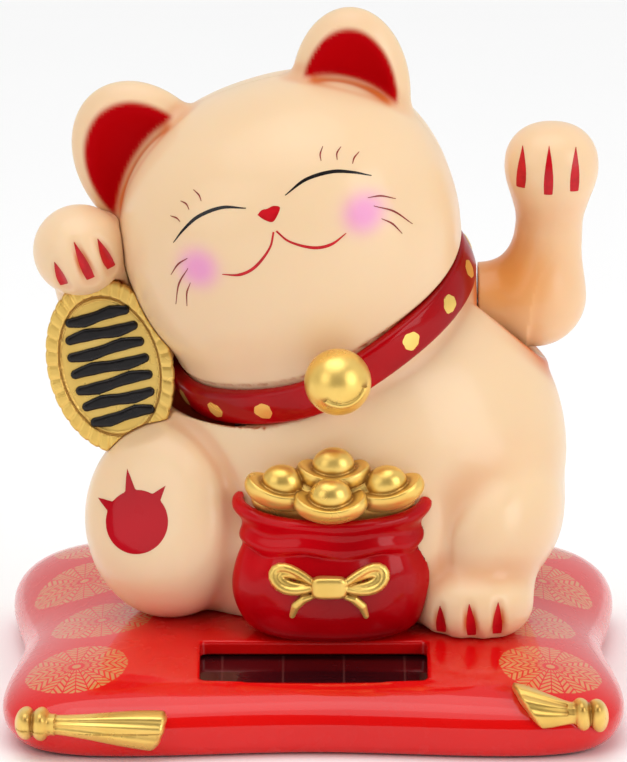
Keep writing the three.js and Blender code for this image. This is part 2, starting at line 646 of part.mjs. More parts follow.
// ---------------------------------------------------------------- tassels on the four corners
// A knot of two beads and a fringe that widens, lying on the cushion's rounded edge.
function tassel({ knot, tip, spread }) {
  const from = new THREE.Vector3(...knot);
  const along = new THREE.Vector3(...tip).sub(from).normalize();
  const onward = (d) => from.clone().addScaledVector(along, d).toArray();
  const shapes = [
    ellipsoid(onward(0), [2.4, 2.4, 2.4], { around: 10, rings: 6 }),
    ellipsoid(onward(2.6), [2.2, 2.2, 2.2], { around: 10, rings: 6 }),
    limb(onward(4.2), tip, 1.9, spread, 10),
  ];
  const under = solid(block([-60, -60, -20], [60, 60, 0.4]));
  return largest(union(shapes).subtract(cushionOutside).subtract(under));
}
const TASSELS = {
  tassel_front_left: { knot: [-39.4, -35.8, 5.2], tip: [-22.6, -38.4, 4.7], spread: 2.8 },
  tassel_front_right: { knot: [39.4, -35.8, 5.6], tip: [31, -36.2, 7.4], spread: 3 },
  tassel_rear_left: { knot: [-39.4, 35.8, 5.2], tip: [-22.6, 38.4, 4.7], spread: 2.8 },
  tassel_rear_right: { knot: [39.4, 35.8, 5.2], tip: [22.6, 38.4, 4.7], spread: 2.8 },
};
for (const [name, sizes] of Object.entries(TASSELS)) add(name, tassel(sizes), MAT.gold);

export default cat;
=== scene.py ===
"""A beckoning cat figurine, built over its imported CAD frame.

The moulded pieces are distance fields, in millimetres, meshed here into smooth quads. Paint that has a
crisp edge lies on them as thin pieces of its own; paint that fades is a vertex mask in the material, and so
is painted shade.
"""

import functools
import json
import math

import bmesh
import bpy
import numpy as np
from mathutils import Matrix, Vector
from mathutils.geometry import delaunay_2d_cdt


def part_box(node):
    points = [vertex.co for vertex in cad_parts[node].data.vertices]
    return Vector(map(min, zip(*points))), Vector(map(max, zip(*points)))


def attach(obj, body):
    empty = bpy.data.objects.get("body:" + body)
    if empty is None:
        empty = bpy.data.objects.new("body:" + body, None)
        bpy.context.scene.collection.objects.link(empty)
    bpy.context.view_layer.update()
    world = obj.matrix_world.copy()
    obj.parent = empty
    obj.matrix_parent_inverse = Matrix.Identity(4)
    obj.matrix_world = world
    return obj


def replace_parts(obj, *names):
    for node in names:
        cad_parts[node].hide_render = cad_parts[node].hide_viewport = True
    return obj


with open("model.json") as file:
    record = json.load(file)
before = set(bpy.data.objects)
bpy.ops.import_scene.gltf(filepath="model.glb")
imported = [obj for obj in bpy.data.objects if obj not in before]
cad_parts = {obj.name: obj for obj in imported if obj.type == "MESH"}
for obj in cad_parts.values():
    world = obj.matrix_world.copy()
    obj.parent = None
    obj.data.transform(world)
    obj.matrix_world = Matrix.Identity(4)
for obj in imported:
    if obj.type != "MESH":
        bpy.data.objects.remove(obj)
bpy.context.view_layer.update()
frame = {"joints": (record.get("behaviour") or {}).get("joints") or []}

MM = 0.001
HOUSING, SWING = "housing", "swing"
PIVOT = np.array(frame["joints"][0]["pos_m"]) / MM  # a point on the waving arm's axle, which runs along X
WALL = 1.8  # moulded wall
SEAM = 0.04  # half of the fine gap between two glued shells
CLEAR, SNUG = 0.1, 0.05  # air between pieces that touch, ordinary and for the closest fits
PAINT, TUCK = 0.05, 0.02  # how far crisp paint stands off the surface, and its edge is sunk into it
HOLLOW_REACH = 1.2  # how near another surface has to be for a point to count as lying in a hollow
SOFT_REACH = 4.0  # the same, for the soft warm shade in the hollows of the cream plastic


# ---------------- directions and boxes
def rotation(axis, deg):
    """Rotation matrix about axis 0, 1 or 2."""
    u, v = (axis + 1) % 3, (axis + 2) % 3
    made = np.eye(3)
    made[u, u] = made[v, v] = math.cos(math.radians(deg))
    made[v, u] = math.sin(math.radians(deg))
    made[u, v] = -made[v, u]
    return made


turn_x, turn_y, turn_z = (functools.partial(rotation, axis) for axis in range(3))


def unit(v):
    return np.array(v, float) / np.linalg.norm(v)


def box_mm(*nodes):
    """Lowest and highest corner of some CAD nodes together, in millimetres."""
    corners = np.array([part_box(n) for n in nodes])
    return corners[:, 0].min(axis=0) / MM, corners[:, 1].max(axis=0) / MM


def middle(node):
    return np.mean(box_mm(node), axis=0)


def around(*nodes, margin=1.2):
    """The room that a piece is meshed in: the box of its CAD nodes and a margin."""
    low, high = box_mm(*nodes)
    return low - margin, high + margin


# ---------------- distance fields
# Points are rows of an (n, 3) array. Every field is negative inside.
def local(p, at, turn=None):
    q = p - np.array(at, float)
    return q if turn is None else q @ turn


def ellipsoid(p, at, semi, turn=None, n=2.0):
    semi = np.array(semi, float)
    a = local(p, at, turn) / semi
    if n == 2:
        size = np.sqrt(np.einsum("ij,ij->i", a, a)) + 1e-9
        steep = a / semi
        return (size - 1) * size / (np.sqrt(np.einsum("ij,ij->i", steep, steep)) + 1e-9)
    a = np.abs(a) + 1e-9
    size = (a**n).sum(1) ** (1 / n)
    slope = np.sqrt(((a ** (n - 1) / semi) ** 2).sum(1)) * size ** (1 - n)
    return (size - 1) / slope


def limb(p, start, end, r1, r2):
    start, end = np.array(start, float), np.array(end, float)
    d = end - start
    t = np.clip((p - start) @ d / (d @ d), 0, 1)
    return np.linalg.norm(p - start - t[:, None] * d, axis=1) - (r1 + (r2 - r1) * t)


def rounded_box(q, half, radius):
    e = np.abs(q) - (np.array(half, float) - radius)
    return np.linalg.norm(np.maximum(e, 0), axis=1) + np.minimum(e.max(1), 0) - radius


def join(a, b, k):
    h = np.clip(0.5 + 0.5 * (b - a) / k, 0, 1)
    return b + (a - b) * h - k * h * (1 - h)


def meet(a, b, k):
    return -join(-a, -b, k)


def carve(a, b, k):
    return meet(a, -b, k)


def join_masses(p, d, *masses):
    """The field d with ellipsoids joined to it, each given with how softly it blends in."""
    for mass, k in masses:
        d = join(d, ellipsoid(p, **mass), k)
    return d


def walled(outside, within):
    """A hollow moulding: outside, with the room left out that lies a wall's thickness deep in within."""
    return meet(outside, -(within + WALL), 0.3)


def clear_of(d, *others, air=CLEAR, k=0.2):
    """The field d with its neighbours' fields cut out of it, and some air left."""
    for other in others:
        d = carve(d, other - air, k)
    return d


def smooth(low, high, x):
    t = np.clip((x - low) / (high - low), 0, 1)
    return t * t * (3 - 2 * t)


# ---------------- meshing
BLOCK = 4  # nodes along a block: a field is worked out at every node only in blocks near its surface
NEAR = 8  # how near that is, in cells
BLOCKS_AT_ONCE = 2000
PAD = 2.1  # cells left free round a piece
DRAFT = 1
STEP = 0.02  # for slopes taken by differences
CORNERS = np.array([[i, j, k] for i in (0, 1) for j in (0, 1) for k in (0, 1)])
EDGES = [
    (a, b)
    for a in range(8)
    for b in range(a + 1, 8)
    if np.abs(CORNERS[a] - CORNERS[b]).sum() == 1
]


def surface_normals(field, p):
    g = np.stack([field(p + STEP * axis) - field(p - STEP * axis) for axis in np.eye(3)], 1)
    return g / (np.linalg.norm(g, axis=1, keepdims=True) + 1e-12)


def grid_values(field, low, blocks, cell):
    """The field at the nodes of a grid of blocks: exact near the surface, one value a block elsewhere."""
    middles = np.argwhere(np.ones(tuple(blocks)))
    coarse = field(low + cell * (BLOCK * middles + (BLOCK - 1) / 2))
    values = np.repeat(coarse, BLOCK**3).reshape(tuple(blocks) + (BLOCK,) * 3)
    near = middles[np.abs(coarse) < NEAR * cell]
    inner = np.argwhere(np.ones((BLOCK,) * 3))
    for some in np.array_split(near, max(1, len(near) // BLOCKS_AT_ONCE)):
        nodes = (BLOCK * some[:, None] + inner[None]).reshape(-1, 3)
        values[tuple(some.T)] = field(low + cell * nodes).reshape((len(some),) + (BLOCK,) * 3)
    return values.transpose(0, 3, 1, 4, 2, 5).reshape(tuple(blocks * BLOCK))


def net_points(values):
    """The cells that the surface crosses, and in each the middle of the places where it crosses edges."""
    a, b, c = np.array(values.shape) - 1
    count = sum((values < 0)[i : a + i, j : b + j, k : c + k].astype(np.int8) for i, j, k in CORNERS)
    cells = np.argwhere((count > 0) & (count < 8))
    corner = np.stack([values[tuple((cells + c).T)] for c in CORNERS], 1)
    total, hits = np.zeros((len(cells), 3)), np.zeros(len(cells))
    for a, b in EDGES:
        crosses = (corner[:, a] < 0) != (corner[:, b] < 0)
        t = corner[:, a] / np.where(crosses, corner[:, a] - corner[:, b], 1)
        point = CORNERS[a] + t[:, None] * (CORNERS[b] - CORNERS[a])
        total[crosses] += point[crosses]
        hits[crosses] += 1
    return cells, cells + total / hits[:, None]


def net_quads(inside, cells):
    """A quad round every grid edge that the surface crosses, facing out."""
    index = np.full(inside.shape, -1)
    index[tuple(cells.T)] = np.arange(len(cells))
    quads = []
    for axis in range(3):
        one, du, dv = np.roll(np.eye(3, dtype=int), -axis, axis=0)
        here = inside[tuple(slice(0, size - step) for size, step in zip(inside.shape, one))]
        there = inside[tuple(slice(step, size) for size, step in zip(inside.shape, one))]
        for order, starts in ((1, here & ~there), (-1, ~here & there)):
            at = np.argwhere(starts)
            ring = [at - du - dv, at - dv, at, at - du][::order]
            quads.append(np.stack([index[tuple(r.T)] for r in ring], 1))
    quads = np.concatenate(quads)
    return quads[(quads >= 0).all(1)]


def surface_net(field, low, high, cell):
    """Closed quad surface where field is zero, between the corners low and high."""
    low, high = np.array(low, float) - PAD * cell, np.array(high, float) + PAD * cell
    blocks = np.ceil((high - low) / (BLOCK * cell)).astype(int)
    values = grid_values(field, low, blocks, cell)
    cells, points = net_points(values)
    p = low + cell * points
    for _ in range(2):  # onto the surface
        here = field(p)
        g = np.stack([(field(p + STEP * axis) - here) / STEP for axis in np.eye(3)], 1)
        step = (here / np.maximum((g**2).sum(1), 0.2))[:, None] * g
        p = p - np.clip(step, -0.4 * cell, 0.4 * cell)
    return p, net_quads(values < 0, cells)


def link(name, data):
    made = bpy.data.objects.new(name, data)
    bpy.context.scene.collection.objects.link(made)
    return made


def make_object(name, vertices, faces, material, body, slot, normals=None):
    """A mesh object in metres from millimetre vertices, riding on a body."""
    mesh = bpy.data.meshes.new(name)
    mesh.from_pydata((vertices * MM).tolist(), [], faces)
    mesh.validate()
    mesh.polygons.foreach_set("use_smooth", [True] * len(mesh.polygons))
    if normals is not None:
        mesh.normals_split_custom_set_from_vertices(normals.tolist())
    mesh.materials.append(material)
    made = link(name, mesh)
    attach(made, body)
    return made


def add_masks(made, field, p, normals, masks, reach):
    """Stores, at each vertex, how far it lies in a hollow, which the materials darken as painted shade, and
    any paint masks.
    """
    # how crowded each vertex is by nearby surfaces: the measure of the painted shade in hollows
    crowding = [1 - field(p + h * normals) / h for h in reach * np.array([0.3, 0.6, 1])]
    values = {"hollow": smooth(0.02, 0.55, np.mean(crowding, axis=0))}
    values |= {key: mask(p) for key, mask in masks.items()}
    for attribute, value in values.items():
        layer = made.data.attributes.new(attribute, "FLOAT", "POINT")
        layer.data.foreach_set("value", value.astype(np.float32))


def mould(name, field, low, high, cell, material, slot, body=HOUSING, masks={}, reach=HOLLOW_REACH):
    """Meshes a field into a piece. masks maps an attribute name to a function of the points."""
    p, quads = surface_net(field, low, high, cell * DRAFT)
    normals = surface_normals(field, p)
    made = make_object(name, p, quads.tolist(), material, body, slot, normals)
    add_masks(made, field, p, normals, masks, reach)
    return made


def cut_cap(field, vertices, rim, out):
    """Triangles that close a flat cut facing out within the edges round it, where there is material."""
    used = sorted({i for pair in rim for i in pair})
    place = {v: i for i, v in enumerate(used)}
    across = np.cross(out, (0, 0, 1))
    flat = vertices[used] @ np.stack([across, np.cross(out, across)], 1)
    edges = [(place[a], place[b]) for a, b in rim]
    _, _, triangles, sources, _, _ = delaunay_2d_cdt([Vector(xy) for xy in flat], edges, [], 0, 1e-6)
    known = [triangle for triangle in triangles if all(sources[i] for i in triangle)]
    faces = [[used[sources[i][0]] for i in triangle] for triangle in known]
    inside = field(vertices[np.array(faces)].mean(1)) < 0
    return [face for face, kept in zip(faces, inside) if kept]


def mould_halves(what, field, margin, cell, cut_at, cut_normal, material, slot, masks={}):
    """Meshes the head or the body once and parts it at a plane into its front and back moulding."""
    p, quads = surface_net(field, *around(what + "_front", what + "_back", margin=margin), cell * DRAFT)
    facing = np.array(cut_normal, float)
    for half, out in (("front", facing), ("back", -facing)):
        bm = bmesh.new()
        corners = [bm.verts.new(v) for v in p]
        for quad in quads:
            bm.faces.new([corners[i] for i in quad])
        everything = bm.verts[:] + bm.edges[:] + bm.faces[:]
        edge = cut_at - SEAM * out
        bmesh.ops.bisect_plane(bm, geom=everything, dist=1e-5, plane_co=edge, plane_no=out, clear_outer=True)
        bm.verts.index_update()
        vertices = np.array([v.co for v in bm.verts])
        on_cut = np.abs((vertices - edge) @ out) < 1e-3
        rim = [[v.index for v in e.verts] for e in bm.edges if e.is_boundary]
        rim = [pair for pair in rim if on_cut[pair].all()]
        faces = [[v.index for v in face.verts] for face in bm.faces]
        bm.free()
        faces += cut_cap(field, vertices, rim, out)
        normals = surface_normals(field, vertices)
        made = make_object(f"{what}_shell_{half}", vertices, faces, material, HOUSING, slot)
        loop_normals = [
            out if on_cut[list(polygon.vertices)].all() else normals[v]
            for polygon in made.data.polygons
            for v in polygon.vertices
        ]
        made.data.normals_split_custom_set(loop_normals)
        add_masks(made, field, vertices, normals, masks, SOFT_REACH)
        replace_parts(made, f"{what}_{half}")


# ---------------- paint on a surface
class Canvas:
    """A plane in front of a field, onto whose surface painted shapes drop along -normal."""

    def __init__(self, field, at, right, up, reach=30):
        self.field, self.reach = field, reach
        self.at, self.right, self.up = (np.array(v, float) for v in (at, right, up))
        self.out = np.cross(self.right, self.up)

    def drop(self, uv, lift):
        """Points on the surface under plane points uv, lifted off it by lift, and its normals there."""
        uv = np.asarray(uv, float)
        start = self.at + uv[:, :1] * self.right + uv[:, 1:2] * self.up
        far = self.reach * np.ones(len(uv))
        for _ in range(60):  # short steps, because the fields are only roughly distances
            far -= 0.7 * self.field(start + far[:, None] * self.out)
        p = start + far[:, None] * self.out
        normals = surface_normals(self.field, p)
        return p + np.reshape(lift, (-1, 1)) * normals, normals


def spread_along(values, count):
    """Values read off at count even steps."""
    return np.interp(np.linspace(0, 1, count), np.linspace(0, 1, len(values)), values)


def spline(points, steps):
    """Catmull-Rom curve through rows of points."""
    p = np.asarray(points, float)
    p = np.concatenate([2 * p[:1] - p[1:2], p, 2 * p[-1:] - p[-2:-1]])
    out = []
    for i in range(1, len(p) - 2):
        t = np.linspace(0, 1, steps, endpoint=i == len(p) - 3)[:, None]
        a, b, c, d = p[i - 1 : i + 3]
        square, cube = 2 * a - 5 * b + 4 * c - d, 3 * b - a - 3 * c + d
        out.append(0.5 * (2 * b + (c - a) * t + square * t**2 + cube * t**3))
    return np.concatenate(out)


def ring_faces(rows, columns):
    """Quads between successive closed rings of vertices, and a face over the first and the last ring."""
    starts = [(i * columns, j, (j + 1) % columns) for i in range(rows - 1) for j in range(columns)]
    quads = [(row + j, row + k, row + columns + k, row + columns + j) for row, j, k in starts]
    last = (rows - 1) * columns
    return quads + [tuple(range(columns - 1, -1, -1)), tuple(range(last, last + columns))]


def stroke(canvas, points, widths, steps=10, thick=PAINT):
    """A brush stroke along points, as a thin closed film. widths, in mm, are spread along it."""
    line = spline(points, steps)
    tangent = np.gradient(line, axis=0)
    tangent /= np.linalg.norm(tangent, axis=1, keepdims=True)
    side = np.stack([tangent[:, 1], -tangent[:, 0]], 1)
    width = spread_along(widths, len(line))
    across = np.array([-1, -0.6, 0, 0.6, 1, 0])
    lift = np.array([-TUCK, thick, 1.2 * thick, thick, -TUCK, -thick])
    uv = line[:, None] + 0.5 * width[:, None, None] * across[None, :, None] * side[:, None]
    p, normals = canvas.drop(uv.reshape(-1, 2), np.tile(lift, len(line)))
    return p, ring_faces(len(line), len(across)), normals


def patch(canvas, outline, rings=5, dome=0.0):
    """A painted area inside a closed outline, as a thin closed film with a soft dome if one is given."""
    outline = np.asarray(outline, float)
    n, centre = len(outline), np.mean(outline, axis=0)
    x, y = (outline - centre).T
    if np.sum(x * np.roll(y, -1) - y * np.roll(x, -1)) < 0:
        outline = outline[::-1]
    core = 0.02  # the first and the last ring are nearly points
    top = np.linspace(1, core, rings + 1)
    shares = np.concatenate([[core, 0.6], top])
    lifts = np.concatenate([[-PAINT, -PAINT, -TUCK], PAINT + dome * (1 - top[1:] ** 2)])
    uv = np.concatenate([centre + s * (outline - centre) for s in shares])
    p, normals = canvas.drop(uv, np.repeat(lifts, n))
    return p, ring_faces(len(shares), n), normals


def painted(name, shapes, material, slot, body=HOUSING):
    """One piece from several strokes and patches."""
    vertices, faces, normals = [], [], []
    for v, f, n in shapes:
        base = sum(len(x) for x in vertices)
        vertices.append(v)
        normals.append(n)
        faces += [tuple(base + i for i in face) for face in f]
    make_object(name, np.concatenate(vertices), faces, material, body, slot, np.concatenate(normals))


# ---------------- the cushion base
OUTLINE = {"half_width": 44.7, "half_depth": 39.6, "corner": 7, "pinch": 0.07}
EQUATOR, CROWN, TILT, UNDER = 4.6, 8.9, 0.05, 6.8  # the widest level; how top and underside curve from it
PLATE_INSET, PLATE_TOP = 4.1, 2.7
WINDOW = {"at": (0, -25.6, 10.9), "turn": turn_x(10.5), "half": (16, 5.8), "cell_half": (17.3, 7)}
WINDOW_RECESS, BEZEL = 2, 3  # how deep the solar cell sits, and the width of the rim round it
OPENING = {"at": (0, PIVOT[1], 12.5), "half": (12, 13.2, 7.5)}  # in the top, for the bracket and pendulum
POST_R, SCREW_R, SCREW_TOP = 2.6, 1.35, 8.4


def outline(theta):
    """Radius of the cushion's outline: a rounded rectangle whose sides pull in between its corners."""
    c, s = np.cos(theta), np.sin(theta)
    a, b, n = OUTLINE["half_width"], OUTLINE["half_depth"], OUTLINE["corner"]
    rounded = (np.abs(c / a) ** n + np.abs(s / b) ** n) ** (-1 / n)
    phi = np.arctan2(s / b, c / a)
    return rounded * (1 - OUTLINE["pinch"] * np.cos(2 * phi) ** 2)


def cushion_body(p):
    """The cushion's outside: flatter sides below its widest level than above."""
    x, y, z = p.T
    radius = outline(np.arctan2(y, x))
    share = np.hypot(x, y) / radius
    rise = np.where(z > EQUATOR, CROWN + TILT * y, UNDER)
    power = np.where(z > EQUATOR, 4, 9)
    w = (z - EQUATOR) / rise
    slope = np.hypot(power * share ** (power - 1) / radius, 2 * w / rise)
    return (share**power + w * w - 1) / np.maximum(slope, 0.04)


def cushion(p):
    outside = cushion_body(p)
    q = local(p, WINDOW["at"], WINDOW["turn"])
    half, cell_half = WINDOW["half"], WINDOW["cell_half"]
    d = walled(outside, outside)
    bezel = rounded_box(q - [0, 0, -3], (half[0] + BEZEL, half[1] + BEZEL, 3.4), 0.5)
    d = join(d, meet(bezel, outside + 0.4, 0.3), 0.3)
    bore_x, bore_y, _ = np.abs(middle("base_screw_4"))
    post = np.hypot(np.abs(p[:, 0]) - bore_x, np.abs(p[:, 1]) - bore_y)
    d = join(d, np.maximum(post - POST_R, outside + 0.5), 0.4)
    d = carve(d, np.maximum(post - SCREW_R, p[:, 2] - SCREW_TOP), 0.2)
    under = np.hypot(p[:, 0], p[:, 1]) - outline(np.arctan2(p[:, 1], p[:, 0])) + PLATE_INSET
    d = carve(d, np.maximum(under, p[:, 2] - PLATE_TOP), 0.2)
    d = meet(d, -p[:, 2], 0.9)
    d = carve(d, rounded_box(q, (half[0], half[1], 5), 0.8), 0.5)
    d = carve(d, rounded_box(q + [0, 0, WINDOW_RECESS + 4], (*cell_half, 4), 0.3), 0.2)
    return carve(d, rounded_box(p - OPENING["at"], OPENING["half"], 0.4), 0.3)


# ---------------- the cat
HEAD_AT, HEAD_TURN = (-3.3, 0.5, 67.6), turn_y(-19.5) @ turn_z(-5)
HEAD_SEMI, HEAD_SQUARENESS = (24, 21.5, 21.6), 2.25
EARS = [  # red_from: where the red starts off the skull; low_end: how far it stays above the ear's foot
    {"at": (-16.3, 1, 15), "semi": (9.9, 4.8, 12.8), "turn": turn_y(-15), "red_from": 0.3, "low_end": 4.2},
    {"at": (14.6, 1, 15.6), "semi": (8.5, 4.6, 12.5), "turn": turn_y(19), "red_from": 0.0, "low_end": 1.5},
]
EAR_RIM = 1.7
COLLAR_AT, COLLAR_TURN = (1.3, 2, 54.3), turn_y(-25) @ turn_x(14)
COLLAR_SEMI, COLLAR_HALF_WIDTH, COLLAR_THICK = np.array([23.3, 21.4]), 2.75, 1.9
SAG = {"depth": 1.1, "angle": -1.75, "width": 0.45}  # the collar hangs lower under the bell
NECK = {"at": COLLAR_AT, "semi": (21.3, 19.4, 12), "turn": COLLAR_TURN}
TORSO = {"at": (5.3, 5.2, 34.0), "semi": (31.0, 22.8, 28.4)}
SEAT = {"at": (4.2, 5.5, 24.5), "semi": (31.8, 25.2, 18.5)}
HAUNCH = {"at": (24.4, -2.6, 25.5), "semi": (10.5, 16.4, 13.5), "turn": turn_y(30)}
FOOT = {"at": (22.8, -12.8, 16.6), "semi": (8.5, 9, 5.7), "n": 2.3}
TAIL = {"at": (-6, 28, 21), "semi": (8.5, 5.4, 4.4), "turn": turn_y(28) @ turn_z(14)}
THIGH = {"at": (-20.4, -6.4, 26.6), "semi": (12.2, 13.8, 14.4)}  # of the leg stretched forward
COIN_WRIST, COIN_ELBOW, COIN_SHOULDER = (-33, 0.5, 64), (-29.5, 5, 50), (-18, 5, 45)
COIN_HAND = {"at": (-29.5, 1, 62.5), "semi": (5.5, 5, 7)}
COIN_PAW = {"at": (-33.2, -3.2, 65.1), "semi": (6.6, 6.6, 6.5)}
SHOULDER_X, SHOULDER_R, BOSS_START = 23.4, 6.4, 12  # the flat the waving arm turns against, and its boss
BEARING_R, BEARING_LONG, AXLE_HOLE_R = 6, 3.2, 1.5
HUB_R, BORE_R, BORE_END, ARM_CLEARANCE = 6.1, 1.3, 33, 7.3
HUB_END = 30
WAVING_SHOULDER = {"at": (31.4, PIVOT[1], PIVOT[2] + 0.4), "semi": (HUB_R, HUB_R, HUB_R)}
WAVING_REACH = {"start": (33, PIVOT[1], PIVOT[2] + 2), "end": (33.8, PIVOT[1] - 1, 69), "r1": 5.2, "r2": 4.7}
WAVING_PAW = {"at": (33.9, PIVOT[1] - 2.6, 75.7), "semi": (6.7, 6.5, 6.2), "n": 2.2}
SOLE_AT = (-23.4, -15.9, 30.5)
SOLE_OUT = unit((-0.35, -0.88, 0.33))
COIN_AT, COIN_TURN = (-28.9, -5.2, 48.7), turn_y(-14) @ turn_x(-6)
COIN_SEMI, COIN_HALF_THICK = np.array([8.9, 12.8]), 1.1
COIN_RIM, COIN_FACE = 2.2, 0.7  # width of the struck rim, and how far in front of its middle the face lies
COIN_STRIKES = 36  # hammer marks round the rim
COIN_BARS, COIN_BAR_PITCH = 7, 2.45


def around_axle(p, radius):
    return np.hypot(p[:, 1] - PIVOT[1], p[:, 2] - PIVOT[2]) - radius


def ring_place(p):
    """Radial distance from the collar's outline, and height above its middle line."""
    q = local(p, COLLAR_AT, COLLAR_TURN)
    share = np.hypot(q[:, 0] / COLLAR_SEMI[0], q[:, 1] / COLLAR_SEMI[1])
    angle = np.arctan2(q[:, 1] / COLLAR_SEMI[1], q[:, 0] / COLLAR_SEMI[0])
    droop = SAG["depth"] * np.exp(-(((angle - SAG["angle"]) / SAG["width"]) ** 2))
    return (share - 1) * COLLAR_SEMI.mean(), q[:, 2] + droop


def collar_band(p):
    radial, height = ring_place(p)
    crown = 0.35 * (height / COLLAR_HALF_WIDTH) ** 2
    flat = np.stack([radial + crown + COLLAR_THICK / 2, height], 1)
    return rounded_box(flat, (COLLAR_THICK / 2, COLLAR_HALF_WIDTH), 0.7)


def above_collar(p):
    return local(p, COLLAR_AT, COLLAR_TURN)[:, 2]


def in_head(p):
    """Points in the head's own frame: across the face, back through the head, and up."""
    return local(p, HEAD_AT, HEAD_TURN)


def skull(q):
    return ellipsoid(q, (0, 0, 0), HEAD_SEMI, n=HEAD_SQUARENESS)


def head_mass(p):
    """The outside of the head without its ears, down into the neck."""
    return join(skull(in_head(p)), ellipsoid(p, **NECK), 4)


def head_outside(p):
    q = in_head(p)
    d = head_mass(p)
    for ear in EARS:
        x, y, z = ear["at"]
        semi = np.array(ear["semi"])
        shell = ellipsoid(q, ear["at"], semi, ear["turn"])
        scoop_at = (x, y - semi[1] - 0.2, z - 0.8)
        scoop = ellipsoid(q, scoop_at, semi - [EAR_RIM, 0.8, EAR_RIM], ear["turn"])
        d = join(d, carve(shell, scoop, 1.2), 1.8)
    return d


def head(p):
    d = meet(walled(head_outside(p), head_mass(p)), SEAM - above_collar(p), 0.2)
    radial, height = ring_place(p)
    return carve(d, np.maximum(height - COLLAR_HALF_WIDTH - CLEAR, -radial - COLLAR_THICK - CLEAR), 0.8)


def ear_red(p):
    """Where the airbrushed red of the ears lies, from 0 to 1."""
    q = in_head(p)
    mask = np.zeros(len(p))
    for ear in EARS:
        e = local(q, ear["at"], ear["turn"])
        tall = ear["semi"][2] - np.where(e[:, 2] < -0.4, ear["low_end"], 1.5)
        reach = np.hypot(e[:, 0] / (ear["semi"][0] - 1.3), (e[:, 2] + 0.4) / tall)
        inner = 1 - smooth(0.9, 1.0, reach)
        clear_of_head = smooth(ear["red_from"], ear["red_from"] + 0.9, skull(q))
        mask = np.maximum(mask, inner * clear_of_head * (e[:, 1] < 0.5))
    return mask


def leg(p):
    """The right leg, stretched forward, with its flat sole."""
    return meet(ellipsoid(p, **THIGH), (p - SOLE_AT) @ SOLE_OUT, 3.2)


def body_outside(p):
    d = join_masses(p, ellipsoid(p, **TORSO), (SEAT, 2.5), (NECK, 1.5))
    d = join(d, np.maximum(around_axle(p, SHOULDER_R), BOSS_START - p[:, 0]), 4)
    crease = 0.9 + 4 * smooth(27, 38, p[:, 2])  # sharp low down, softer above
    d = join_masses(p, d, (HAUNCH, crease), (FOOT, 3))
    return join_masses(p, join(d, leg(p), 1.6), (TAIL, 2.5))


def body(p):
    outside = body_outside(p)
    d = walled(outside, outside)
    from_middle = np.abs(p[:, 0] - SHOULDER_X + BEARING_LONG / 2)
    d = join(d, np.maximum(around_axle(p, BEARING_R), from_middle - BEARING_LONG / 2), 0.5)
    d = carve(d, np.maximum(around_axle(p, ARM_CLEARANCE), SHOULDER_X - p[:, 0]), 1.5)
    d = carve(d, around_axle(p, AXLE_HOLE_R), 0.2)
    radial, height = ring_place(p)
    d = carve(d, SEAM - above_collar(p), 0.3)
    under_band = height + COLLAR_HALF_WIDTH + CLEAR - 1.2 * np.maximum(radial, 0)
    d = carve(d, np.maximum(-under_band, -radial - COLLAR_THICK - CLEAR), 0.4)
    return clear_of(d, cushion_body(p), k=0.3)


def coin_place(p):
    """Points in the coin's own frame: across, through (front negative), and along its long axis."""
    return local(p, COIN_AT, COIN_TURN)


def coin_edge(q):
    """Distance out from the coin's oval outline, negative inside, and the angle round it."""
    x, z = q[:, 0] / COIN_SEMI[0], q[:, 2] / COIN_SEMI[1]
    return (np.hypot(x, z) - 1) * COIN_SEMI.mean(), np.arctan2(z, x)


def coin_blank(p):
    q = coin_place(p)
    return meet(coin_edge(q)[0], np.abs(q[:, 1]) - COIN_HALF_THICK, 0.6)


def coin(p):
    q = coin_place(p)
    edge, angle = coin_edge(q)
    pitch = 2 * math.pi / COIN_STRIKES
    strike = np.abs((angle / pitch + 0.5) % 1 - 0.5) * pitch * COIN_SEMI.mean()
    dent = 0.13 * np.exp(-((strike / 0.26) ** 2)) * (edge > -COIN_RIM)
    d = meet(edge + dent, np.abs(q[:, 1]) - COIN_HALF_THICK + dent, 0.5)
    d = carve(d, np.maximum(edge + COIN_RIM, q[:, 1] + COIN_FACE), 0.35)
    d = join(d, np.hypot(edge + COIN_RIM + 0.35, q[:, 1] + COIN_FACE) - 0.16, 0.12)
    return clear_of(d, head_outside(p), body_outside(p))


def tube(p, points, radii):
    """A tube along a polyline whose radius runs through radii."""
    radii = spread_along(radii, len(points))
    return np.min([limb(p, *ends) for ends in zip(points, points[1:], radii, radii[1:])], axis=0)


def coin_marks(p):
    """Raised bars with a gentle wave, stacked down the coin's face: a pattern, not writing."""
    q = coin_place(p)
    bars = []
    for i in range(COIN_BARS):
        z = (i - (COIN_BARS - 1) / 2) * COIN_BAR_PITCH
        reach = 0.92 * (COIN_SEMI[0] - COIN_RIM - 1.2) * math.sqrt(1 - (z / (COIN_SEMI[1] - 0.8)) ** 2)
        x = np.linspace(-reach, reach, 9)
        wave = 0.2 * np.sin(x / reach * math.pi + i * math.pi)
        path = np.stack([x, np.full(len(x), -COIN_FACE), z + wave], 1)
        bars.append(tube(q, path, [0.7, 0.95, 0.82, 0.95, 0.7]))
    low = np.abs(q[:, 1] + COIN_FACE) - 0.5
    return meet(np.min(bars, axis=0), low, 0.25)


def coin_arm(p):
    d = limb(p, COIN_WRIST, COIN_ELBOW, 5, 5.6)
    d = join(d, limb(p, COIN_ELBOW, COIN_SHOULDER, 5.6, 6), 3)
    d = join_masses(p, d, (COIN_HAND, 3), (COIN_PAW, 1.5))
    d = clear_of(d, coin_blank(p), k=0.5)
    d = clear_of(d, collar_band(p), k=0.4)
    d = clear_of(d, head_outside(p), air=SNUG, k=0.3)
    return carve(d, body_outside(p) + 0.3, 0.3)  # let into the body's wall, to leave no gap


